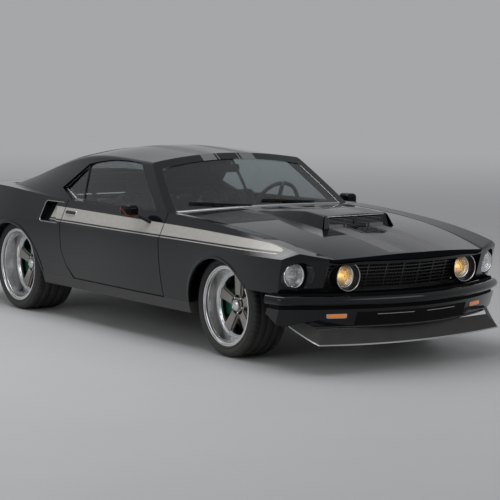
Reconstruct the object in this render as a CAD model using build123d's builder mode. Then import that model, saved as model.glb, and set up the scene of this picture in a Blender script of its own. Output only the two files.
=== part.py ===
from build123d import *
import os
from math import cos, radians, sin

# A two-door fastback muscle car. X runs forward, Y to the left and Z up, from the ground at mid-length.

# Driving dimensions, in millimetres
FRONT_OVERHANG = 1042.5
WHEELBASE = 2743
REAR_OVERHANG = 1042.5
HALF_WIDTH = 890
SILL_Z = 243
CREASE_Z = 706
SIDE_BULGE = 16

PANEL_WALL = 20
DOOR_WALL = 85
QUARTER_WALL = 52
ROOF_WALL = 38
GLASS = 6
SEAT_GAP = 0.3
SHUT_GAP = 8
LID_GAP = 7

DOOR_SETBACK = 689.5
DOOR_LENGTH = 1335
ROCKER_TOP_Z = SILL_Z + 74
DOOR_BOTTOM_Z = ROCKER_TOP_Z + 8

FRONT_TYRE_R = 334
FRONT_TYRE_WIDTH = 275
FRONT_TYRE_INSET = 218
REAR_TYRE_R = 340
REAR_TYRE_WIDTH = 325
REAR_TYRE_INSET = 200
FRONT_RIM_R = 264
REAR_RIM_R = 273
KINGPIN_INSET = 305
SPINDLE_R = 32
RUNNING_FIT = 0.05
DISC_R = 178
DISC_THICK = 28
ARCH_DROP = 65
ARCH_CLEARANCE = 44
ARCH_REACH = 880
APRON_INSET = 530

LENGTH = FRONT_OVERHANG + WHEELBASE + REAR_OVERHANG
NOSE_X = LENGTH / 2
FRONT_AXLE_X = NOSE_X - FRONT_OVERHANG
REAR_AXLE_X = FRONT_AXLE_X - WHEELBASE
TAIL_X = -LENGTH / 2
DOOR_FRONT_X = FRONT_AXLE_X - DOOR_SETBACK
DOOR_REAR_X = DOOR_FRONT_X - DOOR_LENGTH
FRONT_TYRE_Y = HALF_WIDTH - FRONT_TYRE_INSET
REAR_TYRE_Y = HALF_WIDTH - REAR_TYRE_INSET
KINGPIN_Y = HALF_WIDTH - KINGPIN_INSET
APRON_Y = HALF_WIDTH - APRON_INSET
FAR = 4000
SKY_Z = 1500
BESIDE_Y = HALF_WIDTH + 310

# Lower body sections, front ones placed from the front axle and rear ones from the rear axle.
# Columns: dx, sill_in, crease_in, ridge_in, z_ridge, seam_in, z_seam, z_crown (in = inside HALF_WIDTH)
FRONT_SECTIONS = [
    (1100, 150, 60, 175, 668, 330, 660, 722),
    (700, 95, 18, 105, 758, 265, 742, 792),
    (0, 75, -3, 90, 848, 190, 838, 868),
    (-675, 68, 2, 85, 884, 185, 875, 893),
]
REAR_SECTIONS = [
    (1270, 66, 0, 82, 881, 185, 876, 888),
    (480, 68, -2, 80, 884, 185, 880, 888),
    (0, 58, -32, 70, 910, 185, 902, 906),
    (-630, 70, -6, 90, 916, 200, 902, 914),
    (-1120, 100, 28, 125, 905, 230, 893, 908),
]
# Cabin sections. Columns: dx, z_crown, rail_in, z_rail, belt_in
CABIN_BASE_Z = 780
CABIN_FRONT = [
    (-570, 1170, 258, 1125, 90),
    (-1180, 1238, 265, 1188, 102),
    (-1670, 1262, 275, 1202, 108),
]
CABIN_REAR = [
    (570, 1236, 288, 1172, 110),
    (120, 1128, 292, 1068, 110),
    (-380, 985, 278, 930, 118),
    (-880, 860, 250, 822, 145),
]


def across(x):
    """Plane across the car at x, drawn in Y and Z."""
    return Plane(origin=(x, 0, 0), x_dir=(0, 1, 0), z_dir=(1, 0, 0))


def beside(y):
    """Plane along the car at y, drawn in X and Z, facing right."""
    return Plane(origin=(0, y, 0), x_dir=(1, 0, 0), z_dir=(0, -1, 0))


def mirrored(part):
    return mirror(part, about=Plane.XZ, mode=Mode.PRIVATE)


def save(part, name):
    part.label = name
    export_step(part, f"parts/{name}.step")


# Inner forms reach below the outer ones, so that a panel cut by them is open underneath
INNER_DROP = 300
CABIN_DROP = 100
CABIN_BULGE = 14
RAIL_FILLET = 40


def body_section(x, row, inset):
    _, sill_in, crease_in, ridge_in, z_ridge, seam_in, z_seam, z_crown = row
    drop = 0 if inset <= 0 else INNER_DROP
    sill = (HALF_WIDTH - sill_in - inset, SILL_Z - drop)
    crease = (HALF_WIDTH - crease_in - inset, CREASE_Z)
    ridge = (HALF_WIDTH - ridge_in - inset, z_ridge - inset)
    seam = (HALF_WIDTH - seam_in - inset, z_seam - inset)
    bulge_y = HALF_WIDTH - (sill_in + crease_in) / 2 - inset + SIDE_BULGE
    bulge = (bulge_y, (SILL_Z + CREASE_Z) / 2)
    with BuildSketch(across(x)) as section:
        with BuildLine():
            Line((0, sill[1]), sill)
            ThreePointArc(sill, bulge, crease)
            Line(crease, ridge)
            Line(ridge, seam)
            far_seam = (-seam[0], seam[1])
            ThreePointArc(seam, (0, z_crown - inset), far_seam)
            far_ridge = (-ridge[0], ridge[1])
            far_crease = (-crease[0], crease[1])
            far_sill = (-sill[0], sill[1])
            Line(far_seam, far_ridge)
            Line(far_ridge, far_crease)
            ThreePointArc(far_crease, (-bulge[0], bulge[1]), far_sill)
            Line(far_sill, (0, sill[1]))
        make_face()
    return section.sketch


def body_form(inset):
    rows = [(FRONT_AXLE_X + row[0], row) for row in FRONT_SECTIONS]
    rows += [(REAR_AXLE_X + row[0], row) for row in REAR_SECTIONS]
    with BuildPart() as form:
        loft([body_section(x, row, inset) for x, row in rows])
    return form.part


def cabin_section(x, row, inset):
    _, z_crown, rail_in, z_rail, belt_in = row
    drop = 0 if inset <= 0 else CABIN_DROP
    belt = (HALF_WIDTH - belt_in - inset, CABIN_BASE_Z - drop)
    rail = (HALF_WIDTH - rail_in - inset, z_rail - inset)
    bulge = ((belt[0] + rail[0]) / 2 + CABIN_BULGE, (belt[1] + rail[1]) / 2)
    with BuildSketch(across(x)) as section:
        with BuildLine():
            Line((-belt[0], belt[1]), belt)
            ThreePointArc(belt, bulge, rail)
            ThreePointArc(rail, (0, z_crown - inset), (-rail[0], rail[1]))
            ThreePointArc((-rail[0], rail[1]), (-bulge[0], bulge[1]), (-belt[0], belt[1]))
        make_face()
        top_corners = section.vertices().sort_by(Axis.Y)[-2:]
        fillet(top_corners, RAIL_FILLET)
    return section.sketch


def cabin_form(inset):
    rows = [(FRONT_AXLE_X + row[0], row) for row in CABIN_FRONT]
    rows += [(REAR_AXLE_X + row[0], row) for row in CABIN_REAR]
    with BuildPart() as form:
        loft([cabin_section(x, row, inset) for x, row in rows])
    return form.part


# Nose: a pointed plan curve, upright above the grille's top edge and leaning back below it
NOSE_TIP_BACK = 19
FORM_RISE = 400
FORM_FALL = 600
NOSE_LIP_Z = 697
NOSE_LEAN = (-70, 0, -211)
NOSE_SWEEP = (90, 310, 540)
NOSE_HALF = (HALF_WIDTH - 430, HALF_WIDTH - 20, HALF_WIDTH + 310)


def nose_points(tip):
    """The left half of the nose's plan curve: tip, a point on the arc, its end, and a point far outside."""
    bends = [(tip - back, half) for back, half in zip(NOSE_SWEEP, NOSE_HALF)]
    return [(tip, 0), *bends]


def nose_plan(forward, z):
    """Everything behind the nose's plan curve, moved forward by the given amount."""
    left = nose_points(NOSE_X - NOSE_TIP_BACK + forward)
    right = [(x, -y) for x, y in left]
    with BuildSketch(Plane.XY.offset(z)) as plan:
        with BuildLine():
            ThreePointArc(*left[:3])
            Polyline(left[2], left[3], (-FAR, left[3][1]), (-FAR, right[3][1]), right[3], right[2])
            ThreePointArc(*right[2::-1])
        make_face()
    return plan.sketch


def nose_form(forward):
    plan = nose_plan(forward, NOSE_LIP_Z)
    with BuildPart() as form:
        extrude(plan, amount=FORM_RISE)
        extrude(plan, amount=FORM_FALL, dir=NOSE_LEAN)
    return form.part


TAIL_TIP_BACK = 29
TAIL_SWEEP = 60
TAIL_LEAN = (45, 0, -300)


def tail_form(forward):
    """Everything ahead of the tail's plan curve, moved forward by the given amount."""
    tip = TAIL_X + TAIL_TIP_BACK + forward
    corner_x = tip + TAIL_SWEEP
    corner_y = HALF_WIDTH + 10
    with BuildPart() as form:
        with BuildSketch(Plane.XY.offset(CREASE_Z)) as plan:
            with BuildLine():
                ThreePointArc((corner_x, corner_y), (tip, 0), (corner_x, -corner_y))
                Line((corner_x, -corner_y), (corner_x, corner_y))
            make_face()
            with Locations((corner_x + FAR, 0)):
                Rectangle(2 * FAR, 3 * corner_y)
        extrude(plan.sketch, amount=FORM_RISE)
        extrude(plan.sketch, amount=FORM_FALL, dir=TAIL_LEAN)
    return form.part


# Windscreen: an arc in plan, swept back along the glass
SCREEN_BASE = (FRONT_AXLE_X - 701.5, 888)
SCREEN_SWEEP = 80
SCREEN_HALF = HALF_WIDTH - 110
SCREEN_SLOPE = Vector(-480, 0, 342).normalized()
SCREEN_REACH = (900, 300)


def screen_form(back):
    """Everything behind the windscreen's outer face, moved back square to the glass."""
    base_x = SCREEN_BASE[0] - back / SCREEN_SLOPE.Z
    corner_x = base_x - SCREEN_SWEEP
    with BuildPart() as form:
        with BuildSketch(Plane.XY.offset(SCREEN_BASE[1])) as plan:
            with BuildLine():
                ThreePointArc((corner_x, -SCREEN_HALF), (base_x, 0), (corner_x, SCREEN_HALF))
                Line((corner_x, SCREEN_HALF), (corner_x, -SCREEN_HALF))
            make_face()
            with Locations((corner_x - FAR / 2, 0)):
                Rectangle(FAR, 2 * SCREEN_HALF)
            with Locations((corner_x - SCREEN_SWEEP - FAR / 2, 0)):
                Rectangle(FAR, 3 * SCREEN_HALF)
        extrude(plan.sketch, amount=SCREEN_REACH[0], dir=SCREEN_SLOPE)
        extrude(plan.sketch, amount=SCREEN_REACH[1], dir=-SCREEN_SLOPE)
    return form.part


def side_block(outline, inner_y, outer_y):
    """A closed side-view outline of (x, z) points, as a block on the left side."""
    with BuildPart() as block:
        with BuildSketch(beside(outer_y)):
            with BuildLine():
                Polyline(*outline, close=True)
            make_face()
        extrude(amount=outer_y - inner_y)
    return block.part


def plan_block(outline, low_z, high_z):
    """A closed plan outline of (x, y) points, as a block."""
    with BuildPart() as block:
        with BuildSketch(Plane.XY.offset(low_z)):
            with BuildLine():
                Polyline(*outline, close=True)
            make_face()
        extrude(amount=high_z - low_z)
    return block.part


def span_box(low, high):
    """A box between two corners."""
    with BuildPart() as box:
        with Locations(tuple((a + b) / 2 for a, b in zip(low, high))):
            Box(*[b - a for a, b in zip(low, high)])
    return box.part


def wheel_arch(axle_x, tyre_r):
    """The round opening over one left wheel, sunk below the axle so that its lip covers the tyre."""
    with BuildPart() as arch:
        with Locations((axle_x, HALF_WIDTH, tyre_r - ARCH_DROP)):
            Cylinder(tyre_r + ARCH_CLEARANCE, ARCH_REACH, rotation=(90, 0, 0))
    return arch.part


os.makedirs("parts", exist_ok=True)

outer_body = body_form(0) & nose_form(0) & tail_form(0)
seat_body = body_form(-SEAT_GAP)
thin_inner = body_form(PANEL_WALL)
door_inner = body_form(DOOR_WALL)
quarter_inner = body_form(QUARTER_WALL)
front_arch = wheel_arch(FRONT_AXLE_X, FRONT_TYRE_R)
rear_arch = wheel_arch(REAR_AXLE_X, REAR_TYRE_R)

# Hood plan: an arc behind, gently curved sides, open to the nose
HOOD_REAR_X = SCREEN_BASE[0] + 130
HOOD_SWEEP = 45
HOOD_HALF_REAR = HALF_WIDTH - 183
HOOD_HALF_FRONT = HALF_WIDTH - 345
HOOD_BULGE = 22


def hood_plan(grow):
    """A block over the hood's plan outline, grown by the given amount."""
    front_x = NOSE_X + 200
    rear_x = HOOD_REAR_X - HOOD_SWEEP
    middle = ((rear_x + front_x) / 2 - 100, HOOD_HALF_REAR - HOOD_BULGE)
    with BuildPart() as block:
        with BuildSketch(Plane.XY.offset(CREASE_Z - 60)):
            with BuildLine():
                ThreePointArc((rear_x, HOOD_HALF_REAR), (HOOD_REAR_X, 0), (rear_x, -HOOD_HALF_REAR))
                ThreePointArc((rear_x, -HOOD_HALF_REAR), (middle[0], -middle[1]), (front_x, -HOOD_HALF_FRONT))
                Line((front_x, -HOOD_HALF_FRONT), (front_x, HOOD_HALF_FRONT))
                ThreePointArc((front_x, HOOD_HALF_FRONT), middle, (rear_x, HOOD_HALF_REAR))
            make_face()
            if grow:
                offset(amount=grow)
        extrude(amount=FORM_RISE)
    return block.part


hood_area = hood_plan(0)
hood_opening = hood_plan(LID_GAP)

# Nose panel: the band behind the nose curve, with the grille's opening and the outer lamps' bowls
NOSE_DEPTH = 112
NOSE_BOTTOM_Z = 484
GRILLE_HALF = HALF_WIDTH - 265
GRILLE_BOTTOM_Z = 502
GRILLE_TOP_Z = 672
INNER_LAMP = (NOSE_X - 220, HALF_WIDTH - 417, 591)
OUTER_LAMP = (NOSE_X - 338, HALF_WIDTH - 118, 600)
LAMP_R = 74
LAMP_RING = 8
LAMP_REACH = 500
BOWL_R = 88

above_bumper = span_box((0, -FAR, NOSE_BOTTOM_Z), (FAR, FAR, SKY_Z))
grille_hole = span_box((0, -GRILLE_HALF, GRILLE_BOTTOM_Z), (FAR, GRILLE_HALF, GRILLE_TOP_Z))
hood_lip_room = hood_opening & span_box((0, -FAR, NOSE_LIP_Z - LID_GAP), (FAR, FAR, SKY_Z))
hood_skin_room = hood_opening - body_form(PANEL_WALL + LID_GAP)
nose_back = nose_form(-NOSE_DEPTH)
with BuildPart() as nose_panel:
    add(outer_body)
    add(nose_back, mode=Mode.SUBTRACT)
    add(above_bumper, mode=Mode.INTERSECT)
    add(hood_lip_room, mode=Mode.SUBTRACT)
    add(hood_skin_room, mode=Mode.SUBTRACT)
    add(grille_hole, mode=Mode.SUBTRACT)
    with Locations([(OUTER_LAMP[0], side * OUTER_LAMP[1], OUTER_LAMP[2]) for side in (1, -1)]):
        Cylinder(BOWL_R, LAMP_REACH, rotation=(0, 90, 0), mode=Mode.SUBTRACT)
save(nose_panel.part, "nose_panel")

# Front fenders: thin pressed skins from the nose panel to the door, open at the wheel
FENDER_INNER_Y = HALF_WIDTH / 3
fender_block = side_block(
    [
        (DOOR_FRONT_X + SHUT_GAP, ROCKER_TOP_Z + SEAT_GAP),
        (FRONT_AXLE_X, ROCKER_TOP_Z + SEAT_GAP),
        (FRONT_AXLE_X, NOSE_BOTTOM_Z),
        (FAR, NOSE_BOTTOM_Z),
        (FAR, SKY_Z),
        (DOOR_FRONT_X + SHUT_GAP, SKY_Z),
    ],
    FENDER_INNER_Y,
    BESIDE_Y,
)
fender_front = nose_form(-NOSE_DEPTH - SEAT_GAP)
cowl_area = span_box((0, -FAR, 0), (HOOD_REAR_X, HOOD_HALF_REAR + LID_GAP, FAR))
with BuildPart() as left_front_fender:
    add(outer_body)
    add(thin_inner, mode=Mode.SUBTRACT)
    add(fender_block, mode=Mode.INTERSECT)
    add(fender_front, mode=Mode.INTERSECT)
    add(hood_opening, mode=Mode.SUBTRACT)
    add(cowl_area, mode=Mode.SUBTRACT)
    add(front_arch, mode=Mode.SUBTRACT)
save(left_front_fender.part, "left_front_fender")
save(mirrored(left_front_fender.part), "right_front_fender")

# Hood: one pressed skin with a deep front lip and a raised scoop with twin mouths
HOOD_LIP = 45
SCOOP_FRONT_X = FRONT_AXLE_X + 318
SCOOP_LENGTH = 640
SCOOP_HALF = 260
SCOOP_TOP_Z = 922
SCOOP_FALL = 45
SCOOP_BROW = 8
SCOOP_TAPER = 10
SCOOP_MOUTH = (90, 205, 50)
MOUTH_DROP = 42

nose_lip = nose_form(-HOOD_LIP)
above_grille = span_box((0, -FAR, NOSE_LIP_Z), (FAR, FAR, SKY_Z))
lip_block = (outer_body & above_grille & hood_area) - nose_lip
scoop_rear_x = SCOOP_FRONT_X - SCOOP_LENGTH
scoop_sky = side_block(
    [
        (SCOOP_FRONT_X + 100, SKY_Z),
        (SCOOP_FRONT_X + 100, SCOOP_TOP_Z - SCOOP_BROW),
        (SCOOP_FRONT_X - SCOOP_LENGTH / 3, SCOOP_TOP_Z),
        (scoop_rear_x - 50, SCOOP_TOP_Z - SCOOP_FALL),
        (scoop_rear_x - 50, SKY_Z),
    ],
    -FAR,
    FAR,
)
scoop_half_front = SCOOP_HALF + 30
scoop_half_rear = SCOOP_HALF - 40
mouth_y = SCOOP_HALF / 2.2
mouths = [(SCOOP_FRONT_X, side * mouth_y, SCOOP_TOP_Z - MOUTH_DROP) for side in (1, -1)]
with BuildPart() as scoop:
    with BuildSketch(Plane.XY.offset(CREASE_Z)):
        with BuildLine():
            Polyline(
                (SCOOP_FRONT_X + 40, -scoop_half_front),
                (SCOOP_FRONT_X + 40, scoop_half_front),
                (scoop_rear_x, scoop_half_rear),
                (scoop_rear_x, -scoop_half_rear),
                close=True,
            )
        make_face()
    extrude(amount=SCOOP_TOP_Z + 40 - CREASE_Z, taper=SCOOP_TAPER)
    add(scoop_sky, mode=Mode.SUBTRACT)
    add(thin_inner, mode=Mode.SUBTRACT)
    with Locations(mouths):
        Box(*SCOOP_MOUTH, mode=Mode.SUBTRACT)
with BuildPart() as hood:
    add(outer_body)
    add(thin_inner, mode=Mode.SUBTRACT)
    add(hood_area, mode=Mode.INTERSECT)
    add(lip_block)
    add(scoop.part)
save(hood.part, "hood")

# Cowl: the panel between hood and windscreen, with the firewall below it and the hinge pillars
COWL_WALL = 14
COWL_TOP_Z = 860
COWL_EDGE_Y = HALF_WIDTH - 96
COWL_LIP_Y = HALF_WIDTH - 160
FLOOR_TOP_Z = 262
ROCKER_INNER_Y = HALF_WIDTH - 185
FIREWALL_Z = FLOOR_TOP_Z + SEAT_GAP
PILLAR = (80, 80)
PILLAR_Y = HALF_WIDTH - 140
PILLAR_FOOT_Z = ROCKER_TOP_Z + SEAT_GAP
PILLAR_TOP_Z = COWL_TOP_Z + 2
PILLAR_BACK_X = DOOR_FRONT_X - 179
KICK_PANEL = (12, 350, COWL_TOP_Z - 10)
cowl_half_outline = [
    (DOOR_FRONT_X - 70, COWL_LIP_Y),
    (PILLAR_BACK_X, COWL_LIP_Y),
    (PILLAR_BACK_X, COWL_EDGE_Y),
    (DOOR_FRONT_X, COWL_EDGE_Y),
    (DOOR_FRONT_X, HOOD_HALF_REAR),
    (HOOD_REAR_X + 50, HOOD_HALF_REAR),
]
cowl_outline = cowl_half_outline + [(x, -y) for x, y in reversed(cowl_half_outline)]
cowl_top_area = plan_block(cowl_outline, CREASE_Z, SKY_Z)
firewall_x = HOOD_REAR_X - HOOD_SWEEP - 40
kick_low_x = DOOR_FRONT_X - 65
pillar_mid_z = (PILLAR_FOOT_Z + PILLAR_TOP_Z) / 2
kick_mid_z = (KICK_PANEL[1] + KICK_PANEL[2]) / 2
with BuildPart() as cowl:
    add(outer_body)
    add(thin_inner, mode=Mode.SUBTRACT)
    add(cowl_top_area, mode=Mode.INTERSECT)
    add(hood_opening, mode=Mode.SUBTRACT)
    with Locations((firewall_x, 0, (FIREWALL_Z + COWL_TOP_Z) / 2)):
        Box(COWL_WALL, 2 * HOOD_HALF_REAR - 10, COWL_TOP_Z - FIREWALL_Z)
    with Locations([(DOOR_FRONT_X - PILLAR[0] / 2, side * PILLAR_Y, pillar_mid_z) for side in (1, -1)]):
        Box(*PILLAR, PILLAR_TOP_Z - PILLAR_FOOT_Z)
    with Locations([((kick_low_x + firewall_x) / 2, side * HOOD_HALF_REAR, kick_mid_z) for side in (1, -1)]):
        Box(firewall_x - kick_low_x, KICK_PANEL[0], KICK_PANEL[2] - KICK_PANEL[1])
save(cowl.part, "cowl")

# Doors: as thick as the real one, hinged at the front edge, with the belt cut round the pillar
DOOR_TURN = [(0, 190), (40, 90), (135, 0)]
door_block_line = [
    (DOOR_FRONT_X, DOOR_BOTTOM_Z),
    (DOOR_FRONT_X, SKY_Z),
    (DOOR_REAR_X, SKY_Z),
    *[(DOOR_REAR_X + dx, DOOR_BOTTOM_Z + dz) for dx, dz in DOOR_TURN],
]
DOOR_INNER_Y = HALF_WIDTH - 190
DOOR_EDGE_Y = HALF_WIDTH - 91
SWING_CUT = 14
door_block = side_block(door_block_line, DOOR_INNER_Y, BESIDE_Y)
swing_room = span_box((-FAR, -FAR, 0), (DOOR_REAR_X + SWING_CUT, DOOR_EDGE_Y, SKY_Z))
pillar_room = span_box((PILLAR_BACK_X - SHUT_GAP, -FAR, 0), (FAR, DOOR_EDGE_Y, SKY_Z))
with BuildPart() as left_door:
    add(outer_body)
    add(door_inner, mode=Mode.SUBTRACT)
    add(door_block, mode=Mode.INTERSECT)
    add(pillar_room, mode=Mode.SUBTRACT)
    add(swing_room, mode=Mode.SUBTRACT)
save(left_door.part, "left_door")
save(mirrored(left_door.part), "right_door")

# Rockers: box sills below the doors, from arch to arch, planed flat underneath for a jack
SILL_TRIM = 1
STEER_ROOM = 6
steered_arch = wheel_arch(FRONT_AXLE_X, FRONT_TYRE_R + STEER_ROOM)
rocker_low_z = SILL_Z + SILL_TRIM
rocker_block = span_box((REAR_AXLE_X, ROCKER_INNER_Y, rocker_low_z), (FRONT_AXLE_X, BESIDE_Y, ROCKER_TOP_Z))
with BuildPart() as left_rocker:
    add(outer_body)
    add(rocker_block, mode=Mode.INTERSECT)
    add(steered_arch, mode=Mode.SUBTRACT)
    add(rear_arch, mode=Mode.SUBTRACT)
with BuildPart() as rocker_panels:
    add(left_rocker.part)
    add(mirrored(left_rocker.part))
save(rocker_panels.part, "rocker_panels")

# Quarter panels: from the door to the tail, open at the wheel and at the side scoop
DECK_FRONT_X = REAR_AXLE_X - 625
DECK_HALF = HALF_WIDTH - 200
TAIL_DEPTH = 60
QUARTER_BOTTOM_Z = 420
QUARTER_FLANGE_Y = HALF_WIDTH - 330
STRIKER_Z = 600
STRIKER_SIZE = 10
quarter_foot_z = ROCKER_TOP_Z + SEAT_GAP
quarter_line = [
    (DOOR_REAR_X - SHUT_GAP, SKY_Z),
    (-FAR, SKY_Z),
    (-FAR, QUARTER_BOTTOM_Z),
    (REAR_AXLE_X, QUARTER_BOTTOM_Z),
    (REAR_AXLE_X, quarter_foot_z),
    (DOOR_REAR_X + DOOR_TURN[2][0] - 2 * SHUT_GAP, quarter_foot_z),
    (DOOR_REAR_X + DOOR_TURN[1][0] - SHUT_GAP, DOOR_BOTTOM_Z + DOOR_TURN[1][1] - 2),
    (DOOR_REAR_X - SHUT_GAP, DOOR_BOTTOM_Z + DOOR_TURN[0][1]),
]
quarter_block = side_block(quarter_line, QUARTER_FLANGE_Y, BESIDE_Y)
deck_room = span_box((-FAR, -FAR, 0), (DECK_FRONT_X + LID_GAP, DECK_HALF + LID_GAP, SKY_Z))
tail_front = tail_form(TAIL_DEPTH + SEAT_GAP)
striker_y = HALF_WIDTH - 24
striker = span_box(
    (DOOR_REAR_X - SHUT_GAP - STRIKER_SIZE, striker_y, STRIKER_Z),
    (DOOR_REAR_X - SEAT_GAP, striker_y + STRIKER_SIZE, STRIKER_Z + 3 * STRIKER_SIZE),
)

# Side scoop: a pocket behind the door that ramps in from its shut line and ends at an upright lip
SIDE_SCOOP_X = (DOOR_REAR_X - 292, DOOR_REAR_X - 37)
SIDE_SCOOP_Z = (715, 850)
SIDE_SCOOP_DEPTH = 36
SIDE_SCOOP_RAMP = 110
scoop_rear, scoop_front = SIDE_SCOOP_X
scoop_window = plan_block(
    [
        (scoop_rear, BESIDE_Y),
        (scoop_rear, QUARTER_FLANGE_Y),
        (scoop_front - SIDE_SCOOP_RAMP, QUARTER_FLANGE_Y),
        (scoop_front - SIDE_SCOOP_RAMP, HALF_WIDTH - 2 * SIDE_SCOOP_DEPTH),
        (scoop_front, HALF_WIDTH + SIDE_SCOOP_DEPTH / 2),
        (scoop_front, BESIDE_Y),
    ],
    *SIDE_SCOOP_Z,
)
side_scoop = (outer_body - body_form(SIDE_SCOOP_DEPTH)) & scoop_window
with BuildPart() as left_quarter_panel:
    add(outer_body)
    add(quarter_inner, mode=Mode.SUBTRACT)
    add(quarter_block, mode=Mode.INTERSECT)
    add(tail_front, mode=Mode.INTERSECT)
    add(deck_room, mode=Mode.SUBTRACT)
    add(rear_arch, mode=Mode.SUBTRACT)
    add(side_scoop, mode=Mode.SUBTRACT)
    add(striker)
save(left_quarter_panel.part, "left_quarter_panel")
save(mirrored(left_quarter_panel.part), "right_quarter_panel")

# Tail panel with its lower apron, and the decklid above it
TAIL_BOTTOM_Z = 300
DECK_WALL = 25
DECK_LIP = 30
DECK_SILL_Z = CREASE_Z + 60
TAIL_LAMP = (40, 62, 165)
TAIL_LAMP_Y = [330, 420, 510]
TAIL_LAMP_Z = 640
STOP = (16, 40)
STOP_Y = 400
tail_face_x = TAIL_X + TAIL_TIP_BACK
tail_mid_x = tail_face_x + TAIL_DEPTH / 2
deck_block = span_box((-FAR, -DECK_HALF, DECK_SILL_Z), (DECK_FRONT_X, DECK_HALF, SKY_Z))
deck_opening = span_box(
    (-FAR, -DECK_HALF - LID_GAP, DECK_SILL_Z - LID_GAP),
    (DECK_FRONT_X + LID_GAP, DECK_HALF + LID_GAP, SKY_Z),
)
below_tail = span_box((-FAR, -FAR, 0), (FAR, FAR, TAIL_BOTTOM_Z))
tail_solid = tail_form(TAIL_DEPTH)
lamp_places = [(tail_mid_x, side * y, TAIL_LAMP_Z) for side in (1, -1) for y in TAIL_LAMP_Y]
stop_tall = LID_GAP - SEAT_GAP + 2
stop_places = [(tail_mid_x, side * STOP_Y, DECK_SILL_Z - SEAT_GAP - stop_tall / 2) for side in (1, -1)]
with BuildPart() as tail_panel:
    add(outer_body)
    add(tail_solid, mode=Mode.SUBTRACT)
    add(deck_opening, mode=Mode.SUBTRACT)
    add(below_tail, mode=Mode.SUBTRACT)
    with Locations(lamp_places):
        Box(4 * TAIL_DEPTH, *TAIL_LAMP[1:], mode=Mode.SUBTRACT)
    with Locations(stop_places):
        Box(*STOP, stop_tall)
save(tail_panel.part, "tail_panel")
with BuildPart() as tail_lamps:
    with Locations(lamp_places):
        Box(TAIL_LAMP[0], TAIL_LAMP[1] - 2 * SEAT_GAP, TAIL_LAMP[2] - 2 * SEAT_GAP)
save(tail_lamps.part, "tail_lamps")
deck_inner = body_form(DECK_WALL)
deck_lip = (outer_body & deck_block) - tail_form(DECK_LIP)
with BuildPart() as decklid:
    add(outer_body)
    add(deck_inner, mode=Mode.SUBTRACT)
    add(deck_block, mode=Mode.INTERSECT)
    add(deck_lip)
save(decklid.part, "decklid")

# Roof: the fastback shell with its pillars, and the glass set in its openings
BELT_Z = 868
HEADER_Z = 1178
WINDOW_FOOT_Z = 600
window_front_x = DOOR_FRONT_X - 187
WINDOW_LINE = [
    (DOOR_REAR_X + 8, 1134),
    (DOOR_REAR_X - 258, 948),
    (DOOR_REAR_X - 37, BELT_Z),
    (DOOR_REAR_X - 37, WINDOW_FOOT_Z),
    (window_front_x, WINDOW_FOOT_Z),
    (window_front_x, BELT_Z),
    (DOOR_FRONT_X - 617, HEADER_Z),
]
DIVIDER_LINE = [
    (DOOR_REAR_X - 77, SKY_Z),
    (DOOR_REAR_X + 3, 1134),
    (DOOR_REAR_X + 74, BELT_Z),
    (DOOR_REAR_X + 74, 0),
]
DIVIDER_GAP = 12
REAR_WINDOW_X = (REAR_AXLE_X + 541.5, REAR_AXLE_X - 188.5)
REAR_WINDOW_HALF = (HALF_WIDTH - 345, HALF_WIDTH - 330)
REAR_WINDOW_FILLET = 60
GLASS_GAP = 6
GLASS_DEPTH = 4
SIDE_GLASS_DEPTH = 8
cabin_outer = cabin_form(0) & screen_form(0)
cabin_inner = cabin_form(ROOF_WALL)


def window_block(shrink):
    """A block across the car over the side windows' outline, shrunk by the given amount."""
    rear_top, front_top = WINDOW_LINE[0], WINDOW_LINE[-1]
    header_mid = ((rear_top[0] + front_top[0]) / 2, HEADER_Z + 4)
    with BuildPart() as block:
        with BuildSketch(beside(FAR)):
            with BuildLine():
                Polyline(*WINDOW_LINE)
                ThreePointArc(front_top, header_mid, rear_top)
            make_face()
            if shrink:
                offset(amount=-shrink)
        extrude(amount=2 * FAR)
    return block.part


def divider_block(end_x, back):
    """The left side between the divider's line, moved back by the given amount, and end_x."""
    line = [(x - back, z) for x, z in DIVIDER_LINE]
    return side_block([(end_x, 0), (end_x, SKY_Z), *line], 0, BESIDE_Y)


def rear_window_block(shrink):
    """A block over the rear window's plan outline, shrunk by the given amount."""
    (front_x, back_x), (half_front, half_back) = REAR_WINDOW_X, REAR_WINDOW_HALF
    corners = [(front_x, half_front), (back_x, half_back), (back_x, -half_back), (front_x, -half_front)]
    with BuildPart() as block:
        with BuildSketch(Plane.XY.offset(CREASE_Z)) as plan:
            with BuildLine():
                Polyline(*corners, close=True)
            make_face()
            fillet(plan.vertices(), REAR_WINDOW_FILLET)
            if shrink:
                offset(amount=-shrink)
        extrude(amount=900)
    return block.part


window_hole = window_block(0)
window_edge = window_block(GLASS_GAP)
rear_window_hole = rear_window_block(0)
rear_window_edge = rear_window_block(SEAT_GAP)
behind_roof = span_box((-FAR, -FAR, 0), (DECK_FRONT_X + LID_GAP, FAR, SKY_Z))
with BuildPart() as roof:
    add(cabin_outer)
    add(cabin_inner, mode=Mode.SUBTRACT)
    add(seat_body, mode=Mode.SUBTRACT)
    add(window_hole, mode=Mode.SUBTRACT)
    add(rear_window_hole, mode=Mode.SUBTRACT)
    add(behind_roof, mode=Mode.SUBTRACT)
save(roof.part, "roof")

screen_edge = cabin_form(ROOF_WALL + SEAT_GAP)
screen_out = screen_form(GLASS_DEPTH)
screen_in = screen_form(GLASS_DEPTH + GLASS)
with BuildPart() as windscreen:
    add(screen_edge)
    add(screen_out, mode=Mode.INTERSECT)
    add(screen_in, mode=Mode.SUBTRACT)
    add(seat_body, mode=Mode.SUBTRACT)
save(windscreen.part, "windscreen")

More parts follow.
